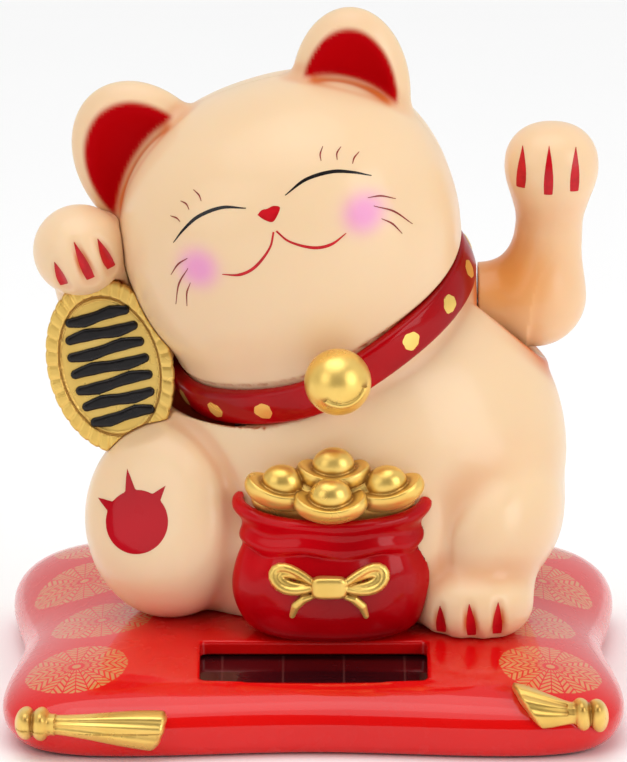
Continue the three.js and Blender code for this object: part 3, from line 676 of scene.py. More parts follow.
def waving_arm(p):
    hub = np.maximum(around_axle(p, HUB_R), p[:, 0] - HUB_END)
    d = join(join_masses(p, hub, (WAVING_SHOULDER, 1.5)), limb(p, **WAVING_REACH), 5)
    d = meet(join_masses(p, d, (WAVING_PAW, 4)), SHOULDER_X + CLEAR - p[:, 0], 0.2)
    return carve(d, np.maximum(around_axle(p, BORE_R), p[:, 0] - BORE_END), 0.1)


# ---------------- bell, money bag, ingots, bow, tassels
BELL_AT, BELL_R = (3.4, -22.2, 50.8), 4.7
BELL_SLOT_R, BELL_SLOT_OUT = 3.45, unit((0.12, -0.94, 0.3))
BAG_AT, BAG_FLATTEN, BAG_LEAN = (2.6, -16.4), 0.6, 0.2
BAG_PROFILE = [  # radius and height
    (8, 11.8), (11.4, 13.4), (13.5, 16.6), (14.2, 20), (13.7, 23.4), (12.5, 26.6), (12.1, 28.5), (11.5, 31),
]
BAG_FOLDS = 9
CUFF = {"bottom": 26.1, "top": 32.3, "thick": 1.6, "radius": 12.9, "edge": 0.75, "waves": 7}
INGOTS = [
    {"at": (2.8, -19.6, 37.1), "tip": 9, "lean": 0},
    {"at": (-4.5, -20.4, 34.8), "tip": 10, "lean": 10},
    {"at": (10.4, -20.4, 34.7), "tip": 10, "lean": -10},
    {"at": (2.4, -23.2, 33.6), "tip": 14, "lean": 0},
]
INGOT_HULL = {"at": (0, 0, 0), "semi": (5.3, 3.6, 3.0)}
INGOT_DOME = {"at": (0, 0, 0.9), "semi": (3.0, 2.5, 2.6)}
INGOT_HEAP = {"at": (2.8, -18.6, 32.8), "semi": (11.6, 4, 4.4)}  # what the ingots rest in
BOW_AT = (2.2, 21.6)  # across and up, on the front of the bag
BOW_TAIL = [(1.9, -1.2), (3.6, -1.8), (4.7, -2.9), (5.2, -4.4)]
TASSEL_NECK, TASSEL_FLUTES = 1.35, 1.7


def bell(p):
    q = local(p, BELL_AT)
    d = np.linalg.norm(q, axis=1) - BELL_R
    along, round_slot = q @ BELL_SLOT_OUT, np.arctan2(q[:, 2] + 0.3, q[:, 0])
    from_axis = np.linalg.norm(q - along[:, None] * BELL_SLOT_OUT, axis=1)
    ring = np.hypot(from_axis - BELL_SLOT_R, along - math.sqrt(BELL_R**2 - BELL_SLOT_R**2))
    arc = np.abs(round_slot + 1.2) - 1.15
    slot = np.maximum(ring, arc * 3)
    d = join(d, slot - 0.46, 0.15)
    d = carve(d, slot - 0.24, 0.12)
    return clear_of(d, collar_band(p), air=SNUG)


def dot_outline(at, turn):
    """A small brushed dot, not quite round."""
    t = np.linspace(0, 2 * math.pi, 28, endpoint=False)
    wobble = 1 + 0.05 * np.sin(3 * t + turn) + 0.04 * np.sin(7 * t + 2 * turn)
    return np.array(at) + 1.42 * wobble[:, None] * np.stack([np.cos(t), 0.95 * np.sin(t)], 1)


def bag_lean(p):
    """Points in the bag's own frame, with the lean of its top taken out."""
    q = p - [*BAG_AT, 0]
    rise = np.clip((q[:, 2] - 20) / 12, 0, 1.3)
    q[:, 2] -= BAG_LEAN * q[:, 1] * rise
    return q


def bag(p):
    q = bag_lean(p)
    radius, angle = np.hypot(q[:, 0], q[:, 1] / BAG_FLATTEN), np.arctan2(q[:, 1] / BAG_FLATTEN, q[:, 0])
    z = q[:, 2]
    profile = spline(BAG_PROFILE, 8)
    body_r = np.interp(z, profile[:, 1], profile[:, 0])
    fold = 0.28 * np.cos(BAG_FOLDS * angle + 0.6) * smooth(17, 26, z)
    squeeze = np.hypot(np.cos(angle), np.sin(angle) / BAG_FLATTEN)
    d = (radius - body_r - fold) / squeeze
    d = meet(meet(d, BAG_PROFILE[0][1] - z, 3), z - BAG_PROFILE[-1][1], 0.8)
    waves = np.sin(CUFF["waves"] * angle + 2.2)
    hem = CUFF["bottom"] + 0.5 * waves + 0.25 * np.sin(3 * angle)
    share = (z - hem) / (CUFF["top"] - hem)
    at_side = np.abs(np.cos(angle)) ** 5
    corner = 0.7 * at_side * smooth(0.2, 1.0, share)
    roll = 0.32 * np.cos(2 * math.pi * (share - 0.22) / 0.62)
    wave = 0.22 * waves * (1 - share)
    middle_r = CUFF["radius"] - CUFF["thick"] / 2 + corner + roll + wave + 0.5 * smooth(0.6, 1.1, share)
    half = (CUFF["top"] + 0.45 * at_side - hem) / 2
    sheet = np.stack([(radius - middle_r) / squeeze, z - (hem + half)], 1)
    cuff = rounded_box(sheet, np.stack([np.full(len(p), CUFF["thick"] / 2), half], 1), CUFF["edge"])
    d = join(d, cuff, 0.45)
    return clear_of(d, body_outside(p), cushion_body(p), k=0.3)


def ingot(p, at, tip, lean):
    """A boat-shaped gold ingot: an upturned rim round a dome."""
    q = local(p, at, turn_y(lean) @ turn_x(tip))
    deck = q[:, 2] - (0.35 + 0.04 * q[:, 0] ** 2)
    return join_masses(q, meet(ellipsoid(q, **INGOT_HULL), deck, 0.35), (INGOT_DOME, 0.25))


def ingots(p):
    d = ellipsoid(p, **INGOT_HEAP)
    for one in INGOTS:
        d = join(d, ingot(p, **one), 0.12)
    return clear_of(clear_of(d, body_outside(p)), bag(p), air=0.08, k=0.15)


def bow_points(points):
    """Places on the front of the bag, given across and up from the bow's knot."""
    face = Canvas(bag, (BOW_AT[0], -30, BOW_AT[1]), (1, 0, 0), (0, 0, 1), reach=4)
    return face.drop(points, 0.0)[0]


def teardrop(side, reach, half, start=1.6, steps=22):
    """A closed loop of ribbon from the knot, out to reach and back, rising a little."""
    t = np.linspace(0, 2 * math.pi, steps)
    along = 0.5 * (1 - np.cos(t))
    across = half * np.sin(t) * along**0.6
    x = start + (reach - start) * along
    return np.stack([side * x, 0.1 + 0.2 * (x - start) - across], 1)


def bow(p):
    knot = bow_points([(0, 0)])[0]
    d = ellipsoid(p, knot + [0, -0.1, 0], (2.5, 1.15, 1.6), n=4)
    for side in (-1, 1):
        outer = bow_points(teardrop(side, 7.8, 2.1))
        web = bow_points(teardrop(side, 6.8, 1.0))
        d = join(d, tube(p, outer - [0, 0.35, 0], [0.5, 0.62, 0.8, 0.62, 0.5]), 0.2)
        d = join(d, tube(p, web, [0.35, 0.6, 0.8, 0.6, 0.35]), 0.25)
        tail = bow_points([(side * x, z) for x, z in BOW_TAIL])
        d = join(d, tube(p, tail - [0, 0.1, 0], [0.35, 0.62, 0.7, 0.6, 0.42]), 0.25)
    return d


def tassel(p, knot, tip, out, spread, slant, bend=0.0):
    """Two beads and a fringe of moulded strands, lying along the cushion's edge."""
    knot, tip, out = (np.array(v, float) for v in (knot, tip, out))
    length = np.linalg.norm(tip - knot)
    along = (tip - knot) / length
    side = np.cross(along, unit(out - (out @ along) * along))
    q = p - knot
    u, v, w = q @ along, q @ side, cushion_body(p) - 0.35
    share = np.clip(u / length, 0, 1.1)
    v = v - bend * share**2
    flat = np.stack([u, v, w], 1)
    d = ellipsoid(flat, (0, 0, 0), (1.6, 2.35, 2.2))
    d = join(d, ellipsoid(flat, (2.3, 0, 0), (1.5, 2.4, 2.2)), 0.15)
    d = join(d, np.maximum(np.hypot(v, w) - 1.5, np.abs(u - 3.3) - 1.1), 0.3)
    half = TASSEL_NECK + (spread - TASSEL_NECK) * smooth(0.15, 1.0, share)
    thick = TASSEL_NECK + 0.25 * share
    strand = 0.5 + 0.5 * np.cos(2 * math.pi * TASSEL_FLUTES * v / half)
    fringe = (np.sqrt((v / half) ** 2 + (w / (thick - 0.24 * (1 - strand))) ** 2) - 1) * thick
    ends = np.maximum(3.1 - u, u - length - slant * v - 0.1 * strand + 0.07 * v * v)
    return join(d, meet(fringe, ends, 0.7), 0.3)


def rear_tassel(side):
    knot, tip = (39.4 * side, 35.8, 5.2), (22.6 * side, 38.2, 4.7)
    return {"knot": knot, "tip": tip, "out": (0, 0.95, 0.3), "spread": 2.9, "slant": 0.5 * side}


TASSELS = {
    "front_left": {"knot": (-40.3, -35.8, 5.0), "tip": (-20.9, -38.2, 4.5), "out": (0, -0.95, 0.3),
                   "spread": 2.9, "slant": -0.28},
    "front_right": {"knot": (39.8, -35.8, 6.2), "tip": (29.2, -36.8, 5.6), "out": (0, -0.85, 0.53),
                    "spread": 3.5, "slant": 0.5, "bend": 2.2},
    "rear_left": rear_tassel(-1),
    "rear_right": rear_tassel(1),
}


def tassel_on_cushion(shape):
    def field(p):
        return clear_of(tassel(p, **shape), cushion_body(p), air=SNUG, k=0.15)

    return field


# ---------------- materials
class Look:
    """A node material round one Principled shader. Values that don't vary sit on its own sockets."""

    def __init__(self, name, **sockets):
        self.material = bpy.data.materials.new(name)
        self.material.use_nodes = True
        self.nodes = self.material.node_tree.nodes
        self.links = self.material.node_tree.links
        self.shader = next(n for n in self.nodes if n.type == "BSDF_PRINCIPLED")
        self.place = self.add("ShaderNodeTexCoord").outputs["Object"]
        for key, value in sockets.items():
            self.shader.inputs[key.replace("_", " ")].default_value = value

    def feed(self, socket, value):
        if isinstance(value, bpy.types.NodeSocket):
            self.links.new(value, socket)
        elif value is not None:
            socket.default_value = value

    def add(self, kind, inputs=None, **settings):
        node = self.nodes.new(kind)
        for key, value in settings.items():
            setattr(node, key, value)
        for key, value in (inputs or {}).items():
            self.feed(node.inputs[key], value)
        return node

    def math(self, operation, a, b=None, c=None, clamp=False):
        node = self.add("ShaderNodeMath", {0: a, 1: b, 2: c}, operation=operation, use_clamp=clamp)
        return node.outputs[0]

    def noise(self, scale, detail=2.0):
        """Noise whose grains are about 1/scale metres across."""
        inputs = {"Vector": self.place, "Scale": scale, "Detail": detail}
        return self.add("ShaderNodeTexNoise", inputs).outputs["Fac"]

    def spread(self, value, low, high, start=0.0, end=1.0):
        inputs = {"Value": value, "From Min": start, "From Max": end, "To Min": low, "To Max": high}
        return self.add("ShaderNodeMapRange", inputs).outputs["Result"]

    def mix(self, factor, a, b):
        node = self.add("ShaderNodeMix", data_type="RGBA")
        self.feed(node.inputs["Factor"], factor)
        self.feed(node.inputs["A"], a)
        self.feed(node.inputs["B"], b)
        return node.outputs["Result"]

    def mottled(self, a, b, scale, detail=2.0, start=0.35):
        """Two close colours in soft patches."""
        return self.mix(self.spread(self.noise(scale, detail), 0, 1, start, 1 - start), a, b)

    def mask(self, name, share=None):
        value = self.add("ShaderNodeAttribute", attribute_name=name).outputs["Fac"]
        return self.math("MULTIPLY", value, share) if share else value

    def axes(self):
        return self.add("ShaderNodeSeparateXYZ", {0: self.place}).outputs

    def finish(self, colour, low, high, height=None, distance=0, strength=0, scale=300):
        """Sets colour, a roughness that wanders between low and high, and bumps. Gives the material."""
        self.feed(self.shader.inputs["Base Color"], colour)
        self.feed(self.shader.inputs["Roughness"], self.spread(self.noise(scale), low, high, 0.3, 0.7))
        if height is not None:
            inputs = {"Height": height, "Distance": distance, "Strength": strength}
            self.feed(self.shader.inputs["Normal"], self.add("ShaderNodeBump", inputs).outputs["Normal"])
        return self.material


def rgb(r, g, b):
    """A colour given as 0 to 255 screen values."""
    channels = [c / 255 for c in (r, g, b)]
    return (*(c / 12.92 if c <= 0.04045 else ((c + 0.055) / 1.055) ** 2.4 for c in channels), 1)


# The third colour here, and the first on the next line, are painted warm shade: for the cream plastic's
# hollows and for the waving arm.
CREAM, CREAM_WARM, CREAM_PAINTED_SHADE = rgb(244, 211, 172), rgb(241, 205, 162), rgb(212, 104, 34)
ARM_SHADE_COLOUR, DEEP_RED, BLUSH = rgb(234, 146, 44), rgb(182, 0, 8), rgb(236, 146, 204)


def cream_paint(name, tints=(), dull=None):
    """Moulded cream plastic with painted warm shade in its hollows, and (mask, colour) tints over it:
    airbrushed paint on the head, painted shade on the arm. The dull mask takes its gloss.
    """
    gloss = {"Coat_Weight": 0.3, "Coat_Roughness": 0.14, "Specular_IOR_Level": 0.2}
    glow = {"Subsurface_Weight": 0.2, "Subsurface_Scale": 0.0025, "Subsurface_Radius": (1.0, 0.45, 0.2)}
    look = Look(name, **gloss, **glow)
    if dull:
        look.feed(look.shader.inputs["Coat Weight"], look.spread(look.mask(dull), 0.3, 0))
        look.feed(look.shader.inputs["Specular IOR Level"], look.spread(look.mask(dull), 0.2, 0.02))
    # painted shade: the cream turns warm orange-brown in its hollows
    base = look.mix(look.mask("hollow", 0.95), look.mottled(CREAM, CREAM_WARM, 28), CREAM_PAINTED_SHADE)
    # the tints: airbrushed blush and ear red on the head, painted warm shade on the arm
    for mask, tint in tints:
        base = look.mix(look.mask(mask), base, tint)
    return look.finish(base, 0.30, 0.38, look.noise(900), 0.00002, 0.35)


def glossy_red(name, colour, dark, coat=0.32):
    """Red moulded plastic under a clear gloss, painted darker in its hollows as shade."""
    look = Look(name, Coat_Weight=coat, Coat_Roughness=0.1, Specular_IOR_Level=0.05)
    # painted shade: the dark red fills the hollows
    base = look.mix(look.mask("hollow", 0.5), look.mottled(colour, dark, 40), dark)
    return look.finish(base, 0.26, 0.36, look.noise(500), 0.00001, 0.2)


def gold_paint(name, metal=0.7):
    """Metallic gold paint, browner where it lies in a hollow: painted shade."""
    look = Look(name, Metallic=metal)
    base = look.mottled(rgb(248, 210, 116), rgb(238, 196, 98), 160, 3, 0.3)
    # painted shade: brown in the hollows
    base = look.mix(look.mask("hollow", 0.7), base, rgb(150, 94, 30))
    return look.finish(base, 0.26, 0.38, look.noise(1400, 3), 0.00003, 0.35, scale=240)


def film(name, colour, other, roughness=(0.3, 0.4)):
    """Brushed-on paint, a little uneven along the stroke."""
    look = Look(name, Coat_Weight=0.15, Coat_Roughness=0.12, Specular_IOR_Level=0.25)
    base = look.mottled(colour, other, 700, 3)
    return look.finish(base, *roughness, look.noise(1600), 0.00001, 0.3, scale=600)


def plain(name, colour, other, roughness, metal=0.0):
    """A finish for the small inner parts: two close colours, uneven gloss and a fine grain."""
    look = Look(name, Metallic=metal)
    base = look.mottled(colour, other, 400, 3)
    return look.finish(base, *roughness, look.noise(1200, 3), 0.00002, 0.4, scale=400)


PRINT_AT = [(33.4, -26.7), (30.2, -8.6), (33.2, 10.6), (30.8, 27.6)]  # centres, mirrored in x
PRINT_R, PRINT_DISC_R, PRINT_PETALS = 7.3, 0.6, 12


def cushion_paint():
    """Glossy red with gold printed rosettes: petals of slanting lines round a small plain disc."""
    look = Look("cushion_red", Coat_Weight=0.75, Coat_Roughness=0.05, Specular_IOR_Level=0.08)
    m, axes = look.math, look.axes()
    x, y = m("MULTIPLY", m("ABSOLUTE", axes[0]), 1 / MM), m("MULTIPLY", axes[1], 1 / MM)
    wedge = 2 * math.pi / PRINT_PETALS
    printed = 0.0
    for cx, cy in PRINT_AT:
        u, v = m("SUBTRACT", x, cx), m("SUBTRACT", y, cy)
        radius = m("SQRT", m("ADD", m("MULTIPLY", u, u), m("MULTIPLY", v, v)))
        angle = m("PINGPONG", m("ADD", m("ARCTAN2", u, v), math.pi), wedge / 2)
        along, aside = m("MULTIPLY", radius, m("COSINE", angle)), m("MULTIPLY", radius, m("SINE", angle))
        lines = m("PINGPONG", m("SUBTRACT", along, m("MULTIPLY", aside, 0.75)), 0.45)
        stripe = look.spread(lines, 0, 1, 0.13, 0.2)
        rib = look.spread(aside, 0, 1, 0.05, 0.11)
        border = m("MULTIPLY", radius, m("SINE", m("SUBTRACT", wedge / 2, angle)))
        petal = m("MULTIPLY", m("MULTIPLY", stripe, rib), look.spread(border, 0, 1, 0.07, 0.13))
        petal = m("MULTIPLY", petal, look.spread(radius, 0, 1, 0.95, 1.02))
        disc = look.spread(radius, 1, 0, PRINT_DISC_R, PRINT_DISC_R + 0.06)
        scallop = m("ADD", radius, m("MULTIPLY", m("MULTIPLY", angle, angle), 2.6))
        inside = look.spread(scallop, 1, 0, PRINT_R - 0.06, PRINT_R)
        printed = m("ADD", printed, m("MULTIPLY", m("MAXIMUM", petal, disc), inside))
    on_top = look.spread(axes[2], 0, 1, 0.0065, 0.0075)
    printed = m("MULTIPLY", printed, on_top)
    look.feed(look.shader.inputs["Metallic"], m("MULTIPLY", printed, 0.2))
    base = look.mix(printed, look.mottled(rgb(224, 14, 10), rgb(216, 10, 10), 40), rgb(222, 142, 84))
    return look.finish(base, 0.22, 0.30, look.noise(420), 0.00001, 0.2)


def cell_paint():
    """Dark thin-film cell behind glass: fine lines across it and four collector strips."""
    look = Look("cell_glass", Coat_Weight=1.0, Coat_Roughness=0.03)
    m, axes = look.math, look.axes()
    fine = look.spread(m("PINGPONG", axes[1], 0.00022), 0, 1, 0.00004, 0.00012)
    strip = look.spread(m("PINGPONG", m("ADD", axes[0], 0.0043), 0.0043), 1, 0, 0.0001, 0.0002)
    base = look.mix(fine, rgb(64, 14, 18), rgb(30, 8, 14))
    base = look.mix(m("MULTIPLY", strip, 0.5), base, rgb(104, 60, 56))
    return look.finish(base, 0.2, 0.28, look.noise(300), 0.00001, 0.2)


def wound_copper():
    look = Look("copper_wire", Metallic=1.0)
    turns = look.math("PINGPONG", look.axes()[2], 0.0001)
    # painted shade: each turn of wire darkens towards the groove where it meets the next
    base = look.mix(look.spread(turns, 0, 1, 0, 0.0001), rgb(120, 52, 22), rgb(206, 118, 62))
    return look.finish(base, 0.25, 0.4, turns, 0.0003, 0.8, scale=900)


def circuit_paint():
    """Green solder mask over straight tracks, a lighter green."""
    look = Look("board_green", Coat_Weight=0.6, Coat_Roughness=0.12)
    lane = look.spread(look.math("PINGPONG", look.axes()[0], 0.0008), 1, 0, 0.0001, 0.0002)
    broken = look.spread(look.noise(220, 0), 0, 1, 0.48, 0.52)
    base = look.mix(look.math("MULTIPLY", lane, broken), rgb(18, 74, 38), rgb(52, 124, 66))
    return look.finish(base, 0.3, 0.4, lane, 0.00005, 0.5)


# ---------------- toes, claws and the sole
def up_canvas(field, y_front):
    """Facing the front of the figure, with plane points given as across and up in its own frame."""
    return Canvas(field, (0, y_front, 0), (1, 0, 0), (0, 0, 1), reach=0)


CLAWS = {  # where each red claw starts at the toe's end, and its tip, across and up
    "waving": [((29.4, 73.6), (29.7, 79.4)), ((33.3, 72.8), (33.4, 79.7)), ((37.0, 73.2), (37.2, 79.4))],
    "coin": [((-35.3, 61.2), (-36.6, 64.7)), ((-31.5, 62.3), (-33.8, 67.7)), ((-28.6, 63.6), (-30.5, 68.0))],
    "foot": [((18.1, 13.2), (17.9, 17.5)), ((22.4, 13.1), (22.0, 18.1)), ((26.0, 13.2), (26.1, 18.2))],
}
CLAW_WIDTH = {"waving": 1.45, "coin": 1.45, "foot": 1.5}
PAW_FRONT = {"waving": -10, "coin": -14, "foot": -28}  # a level in front of each paw
TOE_GROOVE, TOE_DEPTH = 0.9, 0.34


def grooved(plain_field, paw):
    """The field of a paw with a shallow groove under each claw."""
    canvas = up_canvas(plain_field, PAW_FRONT[paw])
    ends = []
    for base, tip in CLAWS[paw]:
        line = np.array([np.array(base) * 1.05 - np.array(tip) * 0.05, base, tip])
        ends.append(canvas.drop(line, TOE_GROOVE - TOE_DEPTH)[0])

    def field(p):
        d = plain_field(p)
        for low, mid, high in ends:
            along = limb(p, low, mid, TOE_GROOVE, TOE_GROOVE)
            d = carve(d, np.minimum(along, limb(p, mid, high, TOE_GROOVE, 0.3)), 1.2)
        return d

    return field


coin_paw = grooved(coin_arm, "coin")
toed_body = grooved(body, "foot")

SOLE_RIGHT = unit(np.cross((0, 0, 1), SOLE_OUT))
SOLE_UP = np.cross(SOLE_OUT, SOLE_RIGHT)
SOLE_PAD_AT, SOLE_PAD_SEMI = (-1.6, -2.0), (4.9, 4.6)
THORNS, THORN_HALF_ANGLE = [(57, 2.1), (108, 3.3), (156, 2.6)], 10  # each one's angle and height


def pad_outline():
    """A disc with three thorns."""
    angle = np.arange(0, 360, 3)
    thorn = sum(h * np.clip(1 - np.abs(angle - at) / THORN_HALF_ANGLE, 0, 1) ** 1.4 for at, h in THORNS)
    round_part = np.stack([np.cos(np.radians(angle)), np.sin(np.radians(angle))], 1)
    return np.array(SOLE_PAD_AT) + (SOLE_PAD_SEMI + thorn[:, None]) * round_part


# ---------------- the face
FACE_X = 1.4  # the face's middle line, across the head
EYE = [(2.9, 9.2), (6.2, 10.2), (9.8, 9.9), (12.5, 8.7), (14.7, 7.2)]
MOUTH = [(0.2, 5.0), (1.5, 3.0), (4.3, 1.1), (6.8, 0.65), (9.2, 1.35)]
NOSE = [(-1.7, 7.9), (-0.9, 8.35), (0, 8.3), (0.9, 8.4), (1.75, 7.95), (1.2, 7.1), (0.1, 6.3), (-1.0, 7.0)]
LASHES = [
    [(9.6, 13.3), (9.0, 12.5), (8.9, 11.7)],
    [(11.9, 12.3), (11.2, 11.8), (11.0, 11.0)],
    [(14.0, 10.7), (13.2, 10.3), (12.8, 9.7)],
]
WHISKERS = [
    [(13.4, 4.7), (15.1, 4.1), (16.7, 2.8)],
    [(13.8, 3.3), (16.0, 1.3), (17.6, -1.6)],
    [(14.2, 1.2), (15.3, -0.2), (16.0, -2.1)],
]
CHEEK, CHEEK_R = (12.3, 3.0), 2.9
# the middle and the reach of the painted warm shade inside the waving arm's elbow
ARM_SHADE_AT, ARM_SHADE_R = np.array([27.5, PIVOT[1] - 5, PIVOT[2] + 5]), 8.5
FACE_LINES = [  # piece, curves, widths along them, steps between points, paint and slot
    ("eye_lines", [EYE], [0.14, 0.46, 0.54, 0.5, 0.36, 0.12], 10, "black", "black_plastic"),
    ("mouth_lines", [MOUTH], [0.3, 0.34, 0.5, 0.5, 0.14], 10, "claw", "red_paint"),
    ("lash_lines", LASHES, [0.1, 0.26, 0.1], 6, "hair", "red_paint"),
    ("whisker_lines", WHISKERS, [0.1, 0.28, 0.1], 8, "hair", "red_paint"),
]


def blush(p):
    """Where the pink of the cheeks lies, fading outwards."""
    q = in_head(p)
    across = np.abs(q[:, 0] - FACE_X) - CHEEK[0]
    off = np.hypot(across, q[:, 2] - CHEEK[1]) / CHEEK_R
    return np.exp(-(off**3)) * (q[:, 1] < 0) * 0.85


def arm_shade(p):
    """Painted warm shade on the waving arm, deepest inside its elbow and lighter along its inner, lower
    side, over a faint warm tint on all of it.
    """
    up_arm = smooth(34.5, 28, p[:, 0]) * smooth(78, 64, p[:, 2])
    deep = np.exp(-((np.linalg.norm(p - ARM_SHADE_AT, axis=1) / ARM_SHADE_R) ** 2))
    return 0.04 + 0.8 * deep + 0.08 * up_arm * (1 - deep)


def both_sides(points):
    """A curve on the right of the face and its mirror on the left."""
    points = np.array(points)
    return [points * [side, 1] + [FACE_X, 0] for side in (1, -1)]


# ---------------- the pieces
def shell(name, field, node, cell, material, slot, margin=1.2, **more):
    """A moulded piece that stands for a CAD node and is meshed in the room round it."""
    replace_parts(mould(name, field, *around(node, margin=margin), cell, material, slot, **more), node)


def outside_paints():
    """The paints of everything that shows, by name."""
    return {
        "cream": cream_paint("cream_plastic"),
        "head": cream_paint("cream_head", [("blush", BLUSH), ("ear_red", DEEP_RED)], dull="ear_red"),
        # the arm's tint is painted warm shade
        "arm": cream_paint("cream_arm", [("arm_shade", ARM_SHADE_COLOUR)]),
        "red": glossy_red("red_gloss", rgb(202, 0, 14), rgb(140, 0, 6)),
        "pad": glossy_red("pad_red", rgb(196, 2, 26), rgb(172, 0, 16), coat=0.35),
        "cushion": cushion_paint(),
        "gold": gold_paint("gold_paint"),
        "coin": gold_paint("coin_gold", metal=0.45),
        "claw": film("claw_red", rgb(206, 12, 28), rgb(184, 4, 20)),
        "black": film("black_ink", rgb(16, 13, 14), rgb(26, 22, 22), (0.25, 0.35)),
        "hair": film("fine_red", rgb(150, 40, 34), rgb(130, 30, 26)),
    }


def build_cat(paint):
    masks = {"ear_red": ear_red, "blush": blush}
    parting = np.array(HEAD_AT) + HEAD_TURN[:, 1]
    mould_halves("head", head, 1.2, 0.42, parting, HEAD_TURN[:, 1], paint["head"], "cream_plastic", masks)
    mould_halves("body", toed_body, 2, 0.45, PIVOT, (0, 1, 0), paint["cream"], "cream_plastic")
    cream = {"slot": "cream_plastic", "reach": SOFT_REACH}
    shell("coin_arm_moulding", coin_paw, "coin_arm", 0.36, paint["cream"], **cream)
    # the waving arm carries the mask of its painted warm shade
    swinging = {"body": SWING, "masks": {"arm_shade": arm_shade}}
    shell("waving_arm_moulding", waving_arm, "waving_arm", 0.36, paint["arm"], **cream, **swinging)


def build_trimmings(paint):
    gold = (paint["gold"], "gold_paint")
    shell("collar_band", collar_band, "collar", 0.36, paint["red"], "red_paint")
    shell("collar_bell", bell, "bell", 0.16, *gold)
    shell("money_bag_moulding", bag, "money_bag", 0.3, paint["red"], "red_paint", margin=2)
    shell("gold_ingots", ingots, "ingot_pile", 0.2, *gold)
    shell("gold_bow", bow, "bow", 0.15, *gold, margin=1.8)
    shell("coin_disc", coin, "coin", 0.2, paint["coin"], "gold_paint", margin=0.8)
    mould("coin_bars", coin_marks, *around("coin", margin=0), 0.16, paint["black"], "black_plastic")
    for name, shape in TASSELS.items():
        shell("gold_" + name, tassel_on_cushion(shape), "tassel_" + name, 0.17, *gold, margin=3)
    shell("cushion_moulding", cushion, "base_cushion", 0.5, paint["cushion"], "red_plastic")


def paint_face(paint):
    face = Canvas(head_mass, HEAD_AT, HEAD_TURN[:, 0], HEAD_TURN[:, 2])
    for name, curves, widths, steps, colour, slot in FACE_LINES:
        shapes = [stroke(face, line, widths, steps) for curve in curves for line in both_sides(curve)]
        painted(name, shapes, paint[colour], slot)
    nose = patch(face, spline(NOSE + NOSE[:1], 6)[:-1] + [FACE_X, 0], dome=0.12)
    painted("nose_paint", [nose], paint["claw"], "red_paint")


def paint_paws(paint):
    paws = [("waving", waving_arm, SWING), ("coin", coin_paw, HOUSING), ("foot", toed_body, HOUSING)]
    for paw, field, rides in paws:
        canvas = up_canvas(field, PAW_FRONT[paw])
        taper = CLAW_WIDTH[paw] * np.array([0.06, 0.45, 0.75, 0.95, 1, 0.9])
        shapes = [stroke(canvas, [tip, base], taper, 24, 2 * PAINT) for base, tip in CLAWS[paw]]
        painted(paw + "_claws", shapes, paint["claw"], "red_paint", rides)
    sole = Canvas(leg, SOLE_AT, SOLE_RIGHT, SOLE_UP, reach=6)
    painted("sole_pad", [patch(sole, pad_outline(), rings=10, dome=0.8)], paint["pad"], "red_paint")


def paint_collar(paint):
    """Gold dots in pairs, from both sides of the bell round to the back."""
    dots = []
    for step in range(7):
        for side in (-1, 1):
            angle = math.radians(-90 + side * (30 + 22 * step))
            across, ahead = math.cos(angle), math.sin(angle)
            spot = COLLAR_TURN @ np.array([COLLAR_SEMI[0] * across, COLLAR_SEMI[1] * ahead, 0]) + COLLAR_AT
            droop = ring_place(spot[None])[1][0]
            right = COLLAR_TURN @ np.array([-ahead, across, 0])
            canvas = Canvas(collar_band, spot, right, COLLAR_TURN[:, 2], reach=4)
            dots.append(patch(canvas, dot_outline((0, -droop), 2.3 * step + side), dome=0.1))
    painted("collar_dots", dots, paint["gold"], "gold_paint")


def finish_inner_parts():
    """Finishes for the CAD parts that show as they are."""
    red_plastic = plain("plate_red", rgb(196, 20, 22), rgb(180, 14, 18), (0.34, 0.46))
    steel = plain("steel_part", rgb(176, 176, 178), rgb(150, 150, 154), (0.25, 0.4), metal=1.0)
    white = plain("white_moulding", rgb(232, 230, 222), rgb(222, 220, 210), (0.4, 0.5))
    dark = plain("dark_moulding", rgb(30, 30, 32), rgb(42, 42, 44), (0.35, 0.5))
    finishes = {
        "base_plate": red_plastic,
        "solar_cell": cell_paint(),
        "axle_bracket": white,
        "circuit_board": circuit_paint(),
        "coil_bobbin": white,
        "drive_coil": wound_copper(),
        "capacitor": plain("can_sleeve", rgb(28, 34, 76), rgb(36, 42, 92), (0.25, 0.35)),
        "driver_chip": dark,
        "red_lead": plain("red_sleeve", rgb(200, 24, 24), rgb(184, 16, 18), (0.4, 0.5)),
        "black_lead": plain("black_sleeve", rgb(24, 24, 24), rgb(36, 36, 36), (0.4, 0.5)),
        "axle": steel,
        "axle_retainer": dark,
        "pendulum": white,
        "magnet": plain("magnet_plate", rgb(168, 170, 176), rgb(140, 142, 150), (0.15, 0.3), metal=1.0),
    }
    finishes |= {f"base_screw_{i}": steel for i in range(1, 5)}
    for node, material in finishes.items():
        for slot in bpy.data.objects[node].material_slots:
            slot.material = material


# ---------------- floor, light and camera
CAMERA_DISTANCE, CAMERA_ELEVATION, CAMERA_TARGET = 1.25, math.radians(15), Vector((0, 0, 0.045))
ROOM_LIGHT, ROOM_DARK = 0.72, 0.06  # how bright the room is all round, and straight ahead of the figure
FRAME_HEIGHT = 0.10886  # what the view takes in from top to bottom at the target


def floor():
    bm = bmesh.new()
    bmesh.ops.create_grid(bm, x_segments=12, y_segments=12, size=3.0)
    mesh = bpy.data.meshes.new("studio_floor")
    bm.to_mesh(mesh)
    bm.free()
    look = Look("floor_paper")
    base = look.mix(look.noise(6), rgb(254, 254, 254), rgb(252, 252, 252))
    mesh.materials.append(look.finish(base, 0.75, 0.85, scale=40))
    link("studio_floor", mesh)


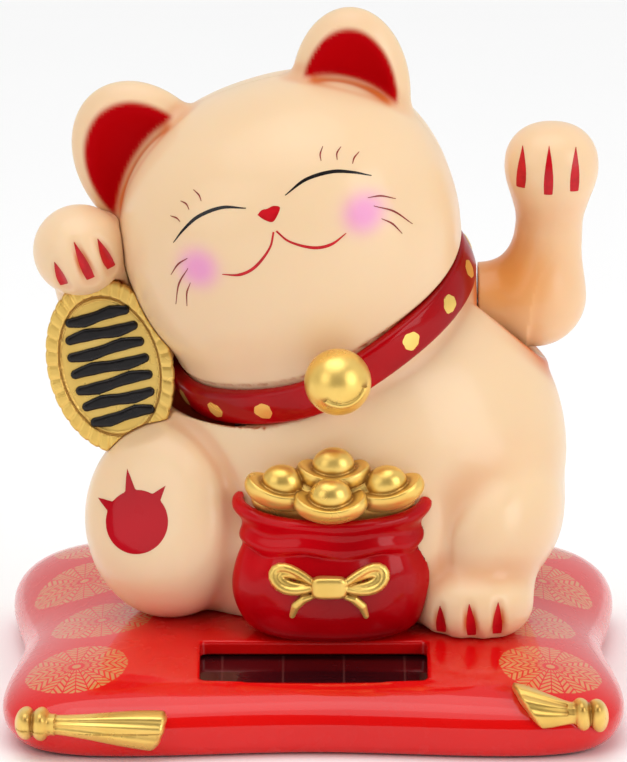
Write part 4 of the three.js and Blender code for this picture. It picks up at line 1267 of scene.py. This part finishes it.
def softbox(name, at, size, power, target=(0, 0, 0.05)):
    light = bpy.data.lights.new(name, "AREA")
    light.shape = "RECTANGLE"
    light.size, light.size_y = size
    light.energy = power
    made = link(name, light)
    made.location = at
    made.rotation_euler = (Vector(target) - Vector(at)).to_track_quat("-Z", "Y").to_euler()


def studio_light():
    world = bpy.data.worlds.new("studio")
    world.use_nodes = True
    nodes, links = world.node_tree.nodes, world.node_tree.links
    background = next(n for n in nodes if n.type == "BACKGROUND")
    background.inputs["Color"].default_value = (1, 1, 1, 1)
    axes = nodes.new("ShaderNodeSeparateXYZ")
    links.new(nodes.new("ShaderNodeTexCoord").outputs["Generated"], axes.inputs[0])
    shade = nodes.new("ShaderNodeMapRange")
    shade.interpolation_type = "SMOOTHSTEP"
    for key, value in {"From Min": -0.6, "From Max": 0.1, "To Min": ROOM_DARK, "To Max": ROOM_LIGHT}.items():
        shade.inputs[key].default_value = value
    links.new(axes.outputs["Y"], shade.inputs["Value"])
    links.new(shade.outputs["Result"], background.inputs["Strength"])
    bpy.context.scene.world = world
    sky = bpy.data.lights.new("ceiling", "SUN")
    sky.energy, sky.angle = 1.22, math.radians(60)
    link("ceiling", sky).rotation_euler = (math.radians(12), math.radians(-8), 0)
    softbox("overhead_box", (-0.05, -0.14, 0.60), (0.34, 0.22), 0.2)
    softbox("left_box", (-0.62, -0.60, 0.40), (0.55, 0.60), 1.6)
    softbox("right_box", (0.66, -0.55, 0.36), (0.50, 0.60), 3.2)
    bpy.context.scene.view_settings.view_transform = "Standard"


def front_camera():
    camera = bpy.data.cameras.new("camera")
    camera.sensor_fit, camera.sensor_height = "VERTICAL", 24
    camera.lens = camera.sensor_height * CAMERA_DISTANCE / FRAME_HEIGHT
    made = link("camera", camera)
    back = Vector((0, -math.cos(CAMERA_ELEVATION), math.sin(CAMERA_ELEVATION)))
    made.location = CAMERA_TARGET + CAMERA_DISTANCE * back
    made.rotation_euler = (-back).to_track_quat("-Z", "Y").to_euler()
    bpy.context.scene.camera = made


front_camera()
studio_light()
floor()
paints = outside_paints()
for build in (build_cat, build_trimmings, paint_face, paint_paws, paint_collar):
    build(paints)
finish_inner_parts()
